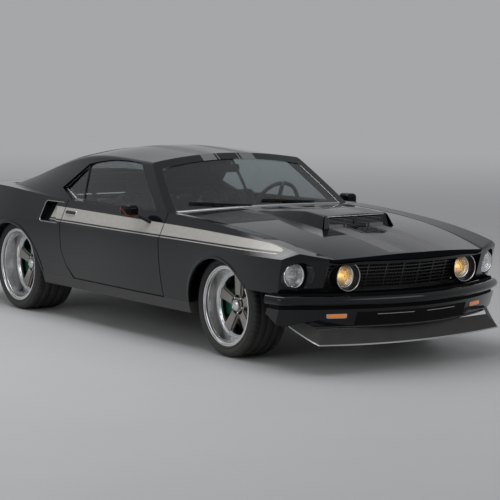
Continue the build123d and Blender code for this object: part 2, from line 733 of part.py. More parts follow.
glass_out = cabin_form(SIDE_GLASS_DEPTH)
glass_in = cabin_form(SIDE_GLASS_DEPTH + GLASS)
door_side = divider_block(FAR, 0)
quarter_side = divider_block(-FAR, DIVIDER_GAP)
with BuildPart() as left_door_glass:
    add(glass_out)
    add(glass_in, mode=Mode.SUBTRACT)
    add(window_edge, mode=Mode.INTERSECT)
    add(door_side, mode=Mode.INTERSECT)
    add(seat_body, mode=Mode.SUBTRACT)
save(left_door_glass.part, "left_door_glass")
save(mirrored(left_door_glass.part), "right_door_glass")
with BuildPart() as left_quarter_glass:
    add(glass_out)
    add(glass_in, mode=Mode.SUBTRACT)
    add(window_edge, mode=Mode.INTERSECT)
    add(quarter_side, mode=Mode.INTERSECT)
    add(seat_body, mode=Mode.SUBTRACT)
with BuildPart() as quarter_windows:
    add(left_quarter_glass.part)
    add(mirrored(left_quarter_glass.part))
save(quarter_windows.part, "quarter_windows")
rear_glass_out = cabin_form(GLASS_DEPTH)
rear_glass_in = cabin_form(GLASS_DEPTH + GLASS)
with BuildPart() as rear_window:
    add(rear_glass_out)
    add(rear_glass_in, mode=Mode.SUBTRACT)
    add(rear_window_edge, mode=Mode.INTERSECT)
save(rear_window.part, "rear_window")

# Grille: a recessed curved plate of bars, with the inner lamps let into it
GRILLE_BACK = 92
GRILLE_WALL = 12
GRILLE_CELL = (118, 15)
GRILLE_PITCH = (126, 22)
GRILLE_CELLS = (9, 7)
grille_area = span_box(
    (0, -GRILLE_HALF + SEAT_GAP, GRILLE_BOTTOM_Z + SEAT_GAP),
    (FAR, GRILLE_HALF - SEAT_GAP, GRILLE_TOP_Z - SEAT_GAP),
)
inner_lamps = [(INNER_LAMP[0], side * INNER_LAMP[1], INNER_LAMP[2]) for side in (1, -1)]
grille_front = nose_form(-GRILLE_BACK)
grille_back = nose_form(-GRILLE_BACK - GRILLE_WALL)
grille_mid_z = (GRILLE_BOTTOM_Z + GRILLE_TOP_Z) / 2
with BuildPart() as grille:
    add(grille_front)
    add(grille_back, mode=Mode.SUBTRACT)
    add(grille_area, mode=Mode.INTERSECT)
    with BuildSketch(across(NOSE_X)):
        with Locations((0, grille_mid_z)):
            with GridLocations(*GRILLE_PITCH, *GRILLE_CELLS):
                Rectangle(*GRILLE_CELL)
    extrude(amount=-700, mode=Mode.SUBTRACT)
    with Locations(inner_lamps):
        Cylinder(LAMP_R + LAMP_RING, LAMP_REACH, rotation=(0, 90, 0))
    add(grille_front, mode=Mode.INTERSECT)
    add(grille_back, mode=Mode.SUBTRACT)
    add(grille_area, mode=Mode.INTERSECT)
    with Locations(inner_lamps):
        Cylinder(LAMP_R + SEAT_GAP, LAMP_REACH, rotation=(0, 90, 0), mode=Mode.SUBTRACT)
save(grille.part, "grille")

# Headlamps: domed lenses on round cans, two in the grille and two in the nose panel's bowls
LAMP_DEPTH = 80
LAMP_DOME = 14
with BuildPart() as headlamps:
    for (lamp_x, lamp_y, lamp_z), lamp_r in ((INNER_LAMP, LAMP_R), (OUTER_LAMP, BOWL_R - SEAT_GAP)):
        back_x = lamp_x - LAMP_DEPTH
        dome_x = lamp_x + LAMP_DOME
        with BuildSketch(Plane.XZ) as half_lamp:
            with BuildLine():
                Polyline((lamp_x, lamp_r), (back_x, lamp_r), (back_x, 0), (dome_x, 0))
                ThreePointArc((dome_x, 0), (lamp_x + LAMP_DOME * 0.75, lamp_r / 2), (lamp_x, lamp_r))
            make_face()
        lamp = revolve(half_lamp.sketch, axis=Axis.X, mode=Mode.PRIVATE)
        for side in (1, -1):
            add(lamp.moved(Location((0, side * lamp_y, lamp_z))))
save(headlamps.part, "headlamps")


def nose_band(tip, wrap_x, wrap_y, wall, z):
    """A plan band that follows the nose and wraps round to the wheel arches."""
    left = nose_points(tip)
    right = [(x, -y) for x, y in left]
    with BuildSketch(Plane.XY.offset(z)) as band:
        with BuildLine():
            Line((wrap_x, -wrap_y), right[2])
            ThreePointArc(*right[2::-1])
            ThreePointArc(*left[:3])
            Line(left[2], (wrap_x, wrap_y))
        trace(line_width=wall)
    return band.sketch


# Front bumper, valance and chin spoiler
BUMPER_WALL = 44
BUMPER_Z = (396, NOSE_BOTTOM_Z - SEAT_GAP)
VALANCE_WALL = 20
VALANCE_BACK = 40
VALANCE_BOTTOM_Z = 272
VALANCE_LEAN = (-46, 0, -119)
CHIN_WALL = 14
CHIN_BOTTOM_Z = 165
ARCH_EDGE_X = FRONT_AXLE_X + 575
CHIN_RISE = [(NOSE_X - 114, 150), (ARCH_EDGE_X, 352)]
bumper_band = nose_band(NOSE_X - BUMPER_WALL / 2, ARCH_EDGE_X, HALF_WIDTH - 2, BUMPER_WALL, BUMPER_Z[0])
with BuildPart() as front_bumper:
    extrude(bumper_band, amount=BUMPER_Z[1] - BUMPER_Z[0])
save(front_bumper.part, "front_bumper")

chin_rise = side_block([(CHIN_RISE[0][0], 0), *CHIN_RISE, (0, CHIN_RISE[1][1]), (0, 0)], -FAR, FAR)
valance_top_z = BUMPER_Z[0] - SEAT_GAP
valance_band = nose_band(NOSE_X - VALANCE_BACK, ARCH_EDGE_X, HALF_WIDTH - 18, VALANCE_WALL, valance_top_z)
valance_length = (valance_top_z - VALANCE_BOTTOM_Z) / abs(Vector(VALANCE_LEAN).normalized().Z)
with BuildPart() as front_valance:
    extrude(valance_band, amount=valance_length, dir=VALANCE_LEAN)
    add(chin_rise, mode=Mode.SUBTRACT)
save(front_valance.part, "front_valance")

CHIN_TIP_X = NOSE_X - 69
CHIN_CORNER = (NOSE_X - 124, HALF_WIDTH - 160)
CHIN_SHOULDER = (CHIN_CORNER[0] - 60, CHIN_CORNER[1] + 60)
CHIN_END = (ARCH_EDGE_X + 20, HALF_WIDTH - 40)
chin_left = [CHIN_CORNER, CHIN_SHOULDER, CHIN_END]
chin_right = [(x, -y) for x, y in reversed(chin_left)]
chin_top_z = VALANCE_BOTTOM_Z - SEAT_GAP
with BuildPart() as chin_spoiler:
    with BuildSketch(Plane.XY.offset(CHIN_BOTTOM_Z)):
        with BuildLine():
            Polyline(*chin_right)
            ThreePointArc(chin_right[-1], (CHIN_TIP_X, 0), CHIN_CORNER)
            Polyline(*chin_left)
        trace(line_width=CHIN_WALL)
    extrude(amount=chin_top_z - CHIN_BOTTOM_Z)
    with BuildSketch(Plane.XY.offset(chin_top_z - CHIN_WALL)):
        with BuildLine():
            Polyline(CHIN_END, *chin_right)
            ThreePointArc(chin_right[-1], (CHIN_TIP_X, 0), CHIN_CORNER)
            Polyline(*chin_left)
        make_face()
    extrude(amount=CHIN_WALL)
    add(chin_rise, mode=Mode.SUBTRACT)
save(chin_spoiler.part, "chin_spoiler")

# Rear bumper
REAR_BUMPER_Z = (440, 520)
REAR_CORNER = (TAIL_X + 68, HALF_WIDTH + 8)
REAR_WRAP = (TAIL_X + 300, HALF_WIDTH + 22)
IRON_Y = 480
IRON_HALF = 30
IRON_Z = (460, 500)
iron_x = (TAIL_X + 25, TAIL_X + 120)
iron_boxes = [
    span_box((iron_x[0], y - IRON_HALF, IRON_Z[0]), (iron_x[1], y + IRON_HALF, IRON_Z[1]))
    for y in (IRON_Y, -IRON_Y)
]
bumper_irons = (iron_boxes[0] + iron_boxes[1]) - tail_form(-SEAT_GAP)
rear_left = [REAR_CORNER, REAR_WRAP]
rear_right = [(x, -y) for x, y in reversed(rear_left)]
with BuildPart() as rear_bumper:
    with BuildSketch(Plane.XY.offset(REAR_BUMPER_Z[0])):
        with BuildLine():
            Line(*rear_right)
            ThreePointArc(rear_right[-1], (TAIL_X + BUMPER_WALL / 2, 0), REAR_CORNER)
            Line(*rear_left)
        trace(line_width=BUMPER_WALL)
    extrude(amount=REAR_BUMPER_Z[1] - REAR_BUMPER_Z[0])
    add(bumper_irons)
save(rear_bumper.part, "rear_bumper")


# Wheels: tyre, deep-dish five-spoke rim and brake disc, drawn about Y at the origin, outer side +Y
FLANGE = 9
BARREL = 14
BEAD_DROP = 24
LIP_INSET = 5
TYRE_SHOULDER = (26, 9, 30)
TYRE_BULGE = 3
SPOKES = 5
SPOKE_DEPTH = 34
SPOKE_HALF = (38, 30)
RIB_HALF = (17, 13)
RIB_RISE = 10
RING_WIDTH = 30
RING_DEPTH = 16
HUB_R = 78
HUB_BACK = 12
CAP_R = 38
CAP_RISE = 28
SPINDLE_REACH = 36
DISC_BORE_R = SPINDLE_R + 16


def tyre_section(tyre_r, half, rim_r):
    """Half of the tyre's section in radius and width: tread, rounded shoulder, bulged flank and bead."""
    tread_in, shoulder_in, shoulder_drop = TYRE_SHOULDER
    bead_y = half - LIP_INSET
    flank_y = bead_y - FLANGE - SEAT_GAP
    bead_r = rim_r - BEAD_DROP
    outer_r = rim_r + 1
    with BuildSketch(Plane.XY) as section:
        with BuildLine():
            Line((tyre_r, 0), (tyre_r, half - tread_in))
            shoulder = (tyre_r - shoulder_in, half - shoulder_in)
            ThreePointArc((tyre_r, half - tread_in), shoulder, (tyre_r - shoulder_drop, half))
            middle = ((tyre_r + rim_r) / 2, half + TYRE_BULGE)
            ThreePointArc((tyre_r - shoulder_drop, half), middle, (outer_r, bead_y))
            Polyline((outer_r, bead_y), (outer_r, flank_y), (bead_r, flank_y), (bead_r, 0), (tyre_r, 0))
        make_face()
        mirror(about=Plane.XZ)
    return section.sketch


def wheel(tyre_r, width, rim_r, dish, disc_y):
    """The tyre, rim and disc of one left wheel."""
    half = width / 2
    lip_y = half - LIP_INSET
    flange_y = lip_y - FLANGE
    barrel_r = rim_r - BEAD_DROP - SEAT_GAP
    inner_r = barrel_r - BARREL
    spoke_y = lip_y - dish
    hub_back_y = spoke_y - SPOKE_DEPTH - HUB_BACK
    hat_low_y = disc_y - DISC_THICK / 2
    hat_high_y = hub_back_y - SEAT_GAP
    section = tyre_section(tyre_r, half, rim_r)
    with BuildPart() as tyre:
        revolve(section, axis=Axis.Y)
    reach = inner_r + 4
    with BuildSketch() as spoke:
        with BuildLine():
            hub_half, tip_half = SPOKE_HALF
            Polyline((30, -hub_half), (reach, -tip_half), (reach, tip_half), (30, hub_half), close=True)
        make_face()
    with BuildSketch() as rib:
        with BuildLine():
            hub_half, tip_half = RIB_HALF
            rib_end = reach - RING_WIDTH
            Polyline((30, -hub_half), (rib_end, -tip_half), (rib_end, tip_half), (30, hub_half), close=True)
        make_face()
    with BuildPart() as rim:
        with BuildSketch(Plane.XY):
            with BuildLine():
                Polyline((inner_r, 0), (inner_r, lip_y), (rim_r, lip_y), (rim_r, flange_y))
                Polyline((rim_r, flange_y), (barrel_r, flange_y), (barrel_r, 0), (inner_r, 0))
            make_face()
            mirror(about=Plane.XZ)
        revolve(axis=Axis.Y)
        with BuildSketch(Plane.XZ.offset(-spoke_y)):
            with PolarLocations(0, SPOKES):
                add(spoke.sketch)
            Circle(HUB_R)
        extrude(amount=SPOKE_DEPTH)
        with BuildSketch(Plane.XZ.offset(-spoke_y)):
            Circle(reach)
            Circle(inner_r - RING_WIDTH, mode=Mode.SUBTRACT)
        extrude(amount=RING_DEPTH)
        with BuildSketch(Plane.XZ.offset(-spoke_y)):
            with PolarLocations(0, SPOKES):
                add(rib.sketch)
            Circle(HUB_R - 16)
        extrude(amount=-RIB_RISE)
        with Locations((0, spoke_y + CAP_RISE / 2, 0)):
            Cylinder(CAP_R, CAP_RISE, rotation=(90, 0, 0))
        with Locations((0, (spoke_y + hub_back_y) / 2, 0)):
            Cylinder(HUB_R - 10, spoke_y - hub_back_y, rotation=(90, 0, 0))
        with Locations((0, hub_back_y + SPINDLE_REACH / 2, 0)):
            Cylinder(SPINDLE_R, SPINDLE_REACH + 12, rotation=(90, 0, 0), mode=Mode.SUBTRACT)
    with BuildPart() as disc:
        with Locations((0, disc_y, 0)):
            Cylinder(DISC_R, DISC_THICK, rotation=(90, 0, 0))
        with Locations((0, (hat_low_y + hat_high_y) / 2, 0)):
            Cylinder(HUB_R - 8, hat_high_y - hat_low_y, rotation=(90, 0, 0))
            Cylinder(DISC_BORE_R, 300, rotation=(90, 0, 0), mode=Mode.SUBTRACT)
    return {"tyre": tyre.part, "rim": rim.part, "disc": disc.part}


FRONT_DISH = 95
REAR_DISH = 130
FRONT_DISC_Y = FRONT_TYRE_Y - 52
REAR_DISC_Y = REAR_TYRE_Y - 60
FRONT_WHEEL = (FRONT_TYRE_R, FRONT_TYRE_WIDTH, FRONT_RIM_R, FRONT_DISH, FRONT_DISC_Y - FRONT_TYRE_Y)
REAR_WHEEL = (REAR_TYRE_R, REAR_TYRE_WIDTH, REAR_RIM_R, REAR_DISH, REAR_DISC_Y - REAR_TYRE_Y)
WHEELS = [
    ("front", (FRONT_AXLE_X, FRONT_TYRE_Y, FRONT_TYRE_R), FRONT_WHEEL),
    ("rear", (REAR_AXLE_X, REAR_TYRE_Y, REAR_TYRE_R), REAR_WHEEL),
]
hub_back = {}
for end, centre, sizes in WHEELS:
    _, tyre_width, _, dish, _ = sizes
    hub_back[end] = centre[1] + tyre_width / 2 - LIP_INSET - dish - SPOKE_DEPTH - HUB_BACK
    for kind, piece in wheel(*sizes).items():
        left_piece = piece.moved(Location(centre))
        save(left_piece, f"left_{end}_{kind}")
        save(mirrored(left_piece), f"right_{end}_{kind}")

# Floor pan: flat floor with a tunnel, kicked up over the rear axle, with the rear wheel houses
FLOOR_WALL = 14
TUNNEL_HALF = 130
TUNNEL_TOP_Z = 420
TUNNEL_WALL = 12
KICK_X = REAR_AXLE_X + 750
REAR_FLOOR_Z = 500
REAR_FLOOR_HALF = REAR_TYRE_Y - 190
HOUSE_R = REAR_TYRE_R + 32
HOUSE_WALL = 10
HOUSE_OUTER_Y = HALF_WIDTH - 65
floor_half = ROCKER_INNER_Y - SEAT_GAP
dash_face_x = firewall_x - COWL_WALL / 2 - SEAT_GAP
rear_floor_end = tail_face_x + TAIL_DEPTH + 60
with BuildPart() as floor_pan:
    with BuildSketch(across(KICK_X)):
        with Locations((0, FLOOR_TOP_Z - FLOOR_WALL / 2)):
            Rectangle(2 * floor_half, FLOOR_WALL)
        with Locations((0, (FLOOR_TOP_Z - FLOOR_WALL + TUNNEL_TOP_Z) / 2)):
            Rectangle(2 * TUNNEL_HALF, TUNNEL_TOP_Z - FLOOR_TOP_Z + FLOOR_WALL)
    extrude(amount=dash_face_x - KICK_X)
    with BuildSketch(beside(floor_half)):
        with Locations((KICK_X, (FLOOR_TOP_Z - FLOOR_WALL + REAR_FLOOR_Z + FLOOR_WALL) / 2)):
            Rectangle(FLOOR_WALL, REAR_FLOOR_Z - FLOOR_TOP_Z + 2 * FLOOR_WALL)
    extrude(amount=2 * floor_half)
    with Locations(((KICK_X + rear_floor_end) / 2, 0, REAR_FLOOR_Z + FLOOR_WALL / 2)):
        Box(KICK_X - rear_floor_end, 2 * REAR_FLOOR_HALF, FLOOR_WALL)
    with Locations((0, 0, (TUNNEL_TOP_Z - TUNNEL_WALL) / 2)):
        Box(2 * FAR, 2 * (TUNNEL_HALF - TUNNEL_WALL), TUNNEL_TOP_Z - TUNNEL_WALL, mode=Mode.SUBTRACT)
    for side in (1, -1):
        with BuildSketch(beside(side * HOUSE_OUTER_Y)):
            with Locations((REAR_AXLE_X, REAR_TYRE_R)):
                Circle(HOUSE_R + HOUSE_WALL)
                Circle(HOUSE_R, mode=Mode.SUBTRACT)
            with Locations((REAR_AXLE_X, REAR_FLOOR_Z - HOUSE_R)):
                Rectangle(4 * HOUSE_R, 2 * HOUSE_R, mode=Mode.SUBTRACT)
        extrude(amount=side * (HOUSE_OUTER_Y - REAR_FLOOR_HALF + HOUSE_WALL))
        with BuildSketch(beside(side * REAR_FLOOR_HALF)):
            with Locations((REAR_AXLE_X, REAR_TYRE_R)):
                Circle(HOUSE_R + HOUSE_WALL)
            with Locations((REAR_AXLE_X, REAR_FLOOR_Z - HOUSE_R)):
                Rectangle(4 * HOUSE_R, 2 * HOUSE_R, mode=Mode.SUBTRACT)
        extrude(amount=side * HOUSE_WALL)
save(floor_pan.part, "floor_pan")

# Front structure: rails and aprons either side of the engine, joined ahead by the radiator support
RAIL = (60, 80)
RAIL_Z = 300
APRON_WALL = 10
APRON_TOP_Z = 735
SUPPORT_X = FRONT_AXLE_X + 640
SUPPORT = (40, 1100, 690)
SUPPORT_FRAME = 70
CORE_DEPTH = 26
HOOD_STOP = (20, HALF_WIDTH - 460)
SHELF_FRONT_X = FRONT_AXLE_X + 380
SHELF_OUTER_Y = HALF_WIDTH - 190
structure_rear_x = firewall_x + COWL_WALL / 2 + SEAT_GAP
rail_mid_x = (structure_rear_x + SUPPORT_X) / 2
rail_length = SUPPORT_X - structure_rear_x
shelf_mid_x = (structure_rear_x + SHELF_FRONT_X) / 2
shelf_inner_y = APRON_Y - APRON_WALL
shelf_mid_y = (shelf_inner_y + SHELF_OUTER_Y) / 2
stop_half, stop_y = HOOD_STOP
stop_posts = [
    span_box((SUPPORT_X - SUPPORT[0], y - stop_half, SUPPORT[2] - 10), (SUPPORT_X, y + stop_half, SKY_Z))
    for y in (stop_y, -stop_y)
]
hood_stops = (stop_posts[0] + stop_posts[1]) & body_form(PANEL_WALL + SEAT_GAP)
core_half = APRON_Y - SUPPORT_FRAME
core_tall = SUPPORT[2] - RAIL_Z - 2 * SUPPORT_FRAME
with BuildPart() as front_structure:
    for side in (1, -1):
        with Locations((rail_mid_x, side * (APRON_Y - RAIL[0] / 2), RAIL_Z + RAIL[1] / 2)):
            Box(rail_length, *RAIL)
        with Locations((rail_mid_x, side * (APRON_Y - APRON_WALL / 2), (RAIL_Z + APRON_TOP_Z) / 2)):
            Box(rail_length, APRON_WALL, APRON_TOP_Z - RAIL_Z)
        with Locations((shelf_mid_x, side * shelf_mid_y, APRON_TOP_Z - APRON_WALL / 2)):
            Box(SHELF_FRONT_X - structure_rear_x, SHELF_OUTER_Y - shelf_inner_y, APRON_WALL)
    with Locations((SUPPORT_X - SUPPORT[0] / 2, 0, (RAIL_Z + SUPPORT[2]) / 2)):
        Box(SUPPORT[0], SUPPORT[1], SUPPORT[2] - RAIL_Z)
        Box(2 * SUPPORT[0], 2 * core_half, core_tall, mode=Mode.SUBTRACT)
        Box(CORE_DEPTH, 2 * core_half + 4, core_tall + 4)
    add(hood_stops)
save(front_structure.part, "front_structure")

# Engine block, gearbox and propeller shaft
ENGINE = (640, 500, 440)
ENGINE_LIFT = 30
ENGINE_ROUND = 30
ENGINE_MOUNT = (110, 36)
engine_x = FRONT_AXLE_X + 130 - ENGINE[0] / 2
with BuildPart() as engine:
    with Locations((engine_x, 0, RAIL_Z + ENGINE_LIFT + ENGINE[2] / 2)):
        Box(*ENGINE)
    fillet(engine.edges(), ENGINE_ROUND)
    with Locations((engine_x, 0, RAIL_Z + RAIL[1] - 20)):
        Box(ENGINE_MOUNT[0], 2 * (APRON_Y - RAIL[0] - SEAT_GAP), ENGINE_MOUNT[1])
save(engine.part, "engine")
SHAFT_R = 36
SHAFT_Z = REAR_TYRE_R
GEARBOX_LENGTH = 480
GEARBOX_ENDS = [(120, 110), (210, 128)]
GEARBOX_ROUND = 20
DIFF_R = 125
PINION_R = 60
PINION_NOSE = 39
gearbox_front_x = firewall_x - COWL_WALL - 1
gearbox_rear_x = gearbox_front_x - GEARBOX_LENGTH
shaft_end_x = REAR_AXLE_X + DIFF_R + PINION_NOSE + SEAT_GAP
with BuildPart() as driveline:
    for x, end_size in zip((gearbox_rear_x, gearbox_front_x), GEARBOX_ENDS):
        with BuildSketch(across(x)):
            with Locations((0, SHAFT_Z)):
                RectangleRounded(*end_size, GEARBOX_ROUND)
    loft()
    with Locations(((gearbox_rear_x + shaft_end_x) / 2, 0, SHAFT_Z)):
        Cylinder(SHAFT_R, gearbox_rear_x - shaft_end_x, rotation=(0, 90, 0))
save(driveline.part, "driveline")

# Front suspension: crossmember with lower arms, and upper arms on the aprons, all round at the kingpin
ARM_WIDTH = 70
ARM_TAPER = 70
BALL_R = 15
UPRIGHT = (64, 38, 190)
UPRIGHT_FOOT_Z = 250
LOWER_ARM = 28
UPPER_ARM = 24
CROSSMEMBER = (120, 20)


def arm(inner_y, low_z, thick):
    """A left suspension arm, tapered from the chassis to a round end on the kingpin's axis."""
    half = [(BALL_R, KINGPIN_Y), (ARM_WIDTH / 2, KINGPIN_Y - ARM_TAPER), (ARM_WIDTH / 2, inner_y)]
    ahead = [(FRONT_AXLE_X + dx, y) for dx, y in half]
    behind = [(FRONT_AXLE_X - dx, y) for dx, y in reversed(half)]
    with BuildPart() as link:
        with BuildSketch(Plane.XY.offset(low_z)):
            with BuildLine():
                Polyline(*ahead, *behind, close=True)
            make_face()
            with Locations((FRONT_AXLE_X, KINGPIN_Y)):
                Circle(BALL_R)
        extrude(amount=thick)
    return link.part


lower_arm = arm(APRON_Y - 100, UPRIGHT_FOOT_Z - SEAT_GAP - LOWER_ARM, LOWER_ARM)
upper_arm = arm(APRON_Y + SEAT_GAP, UPRIGHT_FOOT_Z + UPRIGHT[2] + SEAT_GAP, UPPER_ARM)
crossmember_low_z = UPRIGHT_FOOT_Z - CROSSMEMBER[1]
crossmember_tall = RAIL_Z - SEAT_GAP - crossmember_low_z
with BuildPart() as front_suspension:
    with Locations((FRONT_AXLE_X, 0, crossmember_low_z + crossmember_tall / 2)):
        Box(CROSSMEMBER[0], 2 * APRON_Y - 80, crossmember_tall)
    for left_arm in (lower_arm, upper_arm):
        add(left_arm)
        add(mirrored(left_arm))
save(front_suspension.part, "front_suspension")


CALIPER_GAP = 3
CALIPER_HALF = 30
CALIPER_FACE = 27
CALIPER_R = (115, DISC_R + 22)
CALIPER_INNER_X = 60
CALIPER_TALL = 170
CALIPER_ROUND = 6


def caliper(axle_x, axle_z, disc_y):
    """A caliper behind the axle, astride the left disc."""
    inner_y = disc_y - DISC_THICK / 2 - CALIPER_GAP - CALIPER_HALF
    outer_y = disc_y + DISC_THICK / 2 + CALIPER_GAP + CALIPER_FACE
    with BuildPart() as block:
        with BuildSketch(beside(outer_y)):
            with Locations((axle_x, axle_z)):
                Circle(CALIPER_R[1])
                Circle(CALIPER_R[0], mode=Mode.SUBTRACT)
            with Locations((axle_x - CALIPER_R[1], axle_z)):
                Rectangle(2 * (CALIPER_R[1] - CALIPER_INNER_X), CALIPER_TALL, mode=Mode.INTERSECT)
        extrude(amount=outer_y - inner_y)
        fillet(block.edges().filter_by(Axis.Y), CALIPER_ROUND)
        slot_wide = DISC_THICK + 2 * CALIPER_GAP
        with Locations((axle_x, disc_y, axle_z)):
            Cylinder(DISC_R + CALIPER_GAP, slot_wide, rotation=(90, 0, 0), mode=Mode.SUBTRACT)
    return block.part


# Steering knuckles: an upright with the wheel's spindle and the caliper's bracket
BRACKET = (30, 80)
upright_y = KINGPIN_Y - 4
spindle_end = hub_back["front"] + SPINDLE_REACH
bracket_end = CALIPER_R[0] - SEAT_GAP
with BuildPart() as left_knuckle:
    with Locations((FRONT_AXLE_X, upright_y, UPRIGHT_FOOT_Z + UPRIGHT[2] / 2)):
        Box(*UPRIGHT)
    with Locations((FRONT_AXLE_X, (upright_y + spindle_end) / 2, FRONT_TYRE_R)):
        Cylinder(SPINDLE_R - RUNNING_FIT, spindle_end - upright_y, rotation=(90, 0, 0))
    with Locations((FRONT_AXLE_X - bracket_end / 2, upright_y - 4, FRONT_TYRE_R)):
        Box(bracket_end, *BRACKET)
    with Locations((FRONT_AXLE_X, 0, FRONT_TYRE_R)):
        Cylinder(bracket_end, 4 * FAR, rotation=(90, 0, 0), mode=Mode.INTERSECT)
save(left_knuckle.part, "left_knuckle")
save(mirrored(left_knuckle.part), "right_knuckle")
left_front_caliper = caliper(FRONT_AXLE_X, FRONT_TYRE_R, FRONT_DISC_Y)
save(left_front_caliper, "left_front_caliper")
save(mirrored(left_front_caliper), "right_front_caliper")

# Rear axle on leaf springs, with its calipers
AXLE_R = 38
REAR_BRACKET = (24, 70)
LEAF = (60, 26)
LEAF_Y = REAR_FLOOR_HALF - 50
LEAF_REACH = 620
LEAF_RISE = 90
HANGER = 40
bracket_y = REAR_DISC_Y - 36
with BuildPart() as rear_brackets:
    for side in (1, -1):
        with Locations((REAR_AXLE_X - bracket_end / 2, side * bracket_y, REAR_TYRE_R)):
            Box(bracket_end, *REAR_BRACKET)
    with Locations((REAR_AXLE_X, 0, REAR_TYRE_R)):
        Cylinder(bracket_end, 2 * FAR, rotation=(90, 0, 0), mode=Mode.INTERSECT)
with BuildPart() as rear_axle:
    with Locations((REAR_AXLE_X, 0, REAR_TYRE_R)):
        Cylinder(AXLE_R, 2 * (REAR_DISC_Y - 24), rotation=(90, 0, 0))
        Cylinder(SPINDLE_R - RUNNING_FIT, 2 * (hub_back["rear"] + SPINDLE_REACH), rotation=(90, 0, 0))
        Sphere(DIFF_R)
    with Locations((REAR_AXLE_X + (DIFF_R + PINION_NOSE) / 2, 0, REAR_TYRE_R)):
        Cylinder(PINION_R, DIFF_R + PINION_NOSE, rotation=(0, 90, 0))
    add(rear_brackets.part)
save(rear_axle.part, "rear_axle")
left_rear_caliper = caliper(REAR_AXLE_X, REAR_TYRE_R, REAR_DISC_Y)
with BuildPart() as rear_calipers:
    add(left_rear_caliper)
    add(mirrored(left_rear_caliper))
save(rear_calipers.part, "rear_calipers")

leaf_low_z = REAR_TYRE_R - AXLE_R - SEAT_GAP - LEAF[1] / 2
leaf_end_z = leaf_low_z + LEAF_RISE
hanger_tall = REAR_FLOOR_Z - SEAT_GAP - leaf_end_z
leaf_ends = [REAR_AXLE_X + LEAF_REACH, REAR_AXLE_X - LEAF_REACH]
with BuildPart() as left_leaf:
    with BuildSketch(beside(LEAF_Y + LEAF[0] / 2)):
        with BuildLine():
            ThreePointArc((leaf_ends[0], leaf_end_z), (REAR_AXLE_X, leaf_low_z), (leaf_ends[1], leaf_end_z))
        trace(line_width=LEAF[1])
        with Locations([(x, leaf_end_z + hanger_tall / 2) for x in leaf_ends]):
            Rectangle(HANGER, hanger_tall)
    extrude(amount=LEAF[0])
with BuildPart() as leaf_springs:
    add(left_leaf.part)
    add(mirrored(left_leaf.part))
save(leaf_springs.part, "leaf_springs")

# Exhaust: twin pipes hung below the floor, each with a silencer
PIPE_R = 28
PIPE_Y = 240
PIPE_Z = 210
PIPE_END_X = TAIL_X + 40
MUFFLER = (480, 150, 84)
MUFFLER_X = REAR_AXLE_X + 1121.5
HANG_STRAP = (30, 24)
hang_tall = FLOOR_TOP_Z - FLOOR_WALL - SEAT_GAP - PIPE_Z
with BuildPart() as left_pipe:
    with Locations(((firewall_x + PIPE_END_X) / 2, PIPE_Y, PIPE_Z)):
        Cylinder(PIPE_R, firewall_x - PIPE_END_X, rotation=(0, 90, 0))
    with Locations((MUFFLER_X, PIPE_Y, PIPE_Z - 6)):
        Box(*MUFFLER)
    with Locations([(x, PIPE_Y, PIPE_Z + hang_tall / 2) for x in (MUFFLER_X + 500, KICK_X + 60)]):
        Box(*HANG_STRAP, hang_tall)
with BuildPart() as exhaust:
    add(left_pipe.part)
    add(mirrored(left_pipe.part))
save(exhaust.part, "exhaust")

TANK = (430, 800, 165)
TANK_X = REAR_AXLE_X - 640
TANK_ROUND = 40
with BuildPart() as fuel_tank:
    with Locations((TANK_X, 0, REAR_FLOOR_Z - SEAT_GAP - TANK[2] / 2)):
        Box(*TANK)
    fillet(fuel_tank.edges().filter_by(Axis.Z), TANK_ROUND)
save(fuel_tank.part, "fuel_tank")

# Cabin: dashboard, column, steering wheel, console and seats
DASH_HALF = ROCKER_INNER_Y - 15
DASH_TOP_Z = 838
# Columns: dx behind the firewall, z
DASH_PROFILE = [(0, 640), (0, 838), (-130, 838), (-210, 808), (-225, 748), (-170, 640)]
HUMP_R = 88
HUMP_WIDTH = 520
HUMP_AT = (-160, 60)
WHEEL_Y = 370
COLUMN_R = 26
COLUMN_LENGTH = 260
COLUMN_TILT = 22
STEER_HUB = (FRONT_AXLE_X - 1041.5, WHEEL_Y, 830)
STEER_R = 180
RING_R = 14
BOSS = (16, 44)
RING_OFFSET = 50
SPOKE = (30, 10)
column_axis = Vector(-cos(radians(COLUMN_TILT)), 0, sin(radians(COLUMN_TILT)))
column_plane = Plane(origin=STEER_HUB, x_dir=(0, 1, 0), z_dir=column_axis)


def column_rod(grow):
    """The steering column, grown all round by the given amount."""
    with BuildPart() as rod:
        with BuildSketch(column_plane):
            Circle(COLUMN_R + grow)
        extrude(amount=-COLUMN_LENGTH - grow)
    return rod.part


column_hole = column_rod(SEAT_GAP)
dash_line = [(dash_face_x + dx, z) for dx, z in DASH_PROFILE]
hump_x = dash_face_x + HUMP_AT[0]
hump_z = DASH_TOP_Z - HUMP_AT[1]
with BuildPart() as dashboard:
    with BuildSketch(beside(DASH_HALF)):
        with BuildLine():
            Polyline(*dash_line, close=True)
        make_face()
    extrude(amount=2 * DASH_HALF)
    with Locations([(hump_x, side * WHEEL_Y, hump_z) for side in (1, -1)]):
        Cylinder(HUMP_R, HUMP_WIDTH, rotation=(90, 0, 0))
    add(column_hole, mode=Mode.SUBTRACT)
save(dashboard.part, "dashboard")
save(column_rod(0), "steering_column")
with BuildPart() as steering_wheel:
    with BuildSketch(column_plane.offset(SEAT_GAP)):
        Circle(COLUMN_R + BOSS[0])
    extrude(amount=BOSS[1])
    with Locations(column_plane.offset(RING_OFFSET).location):
        Torus(STEER_R, RING_R)
    with BuildSketch(column_plane.offset(RING_OFFSET - RING_R)):
        Rectangle(2 * STEER_R - 8, SPOKE[0])
        with Locations((0, -STEER_R / 2)):
            Rectangle(SPOKE[0], STEER_R - 4)
    extrude(amount=SPOKE[1])
save(steering_wheel.part, "steering_wheel")

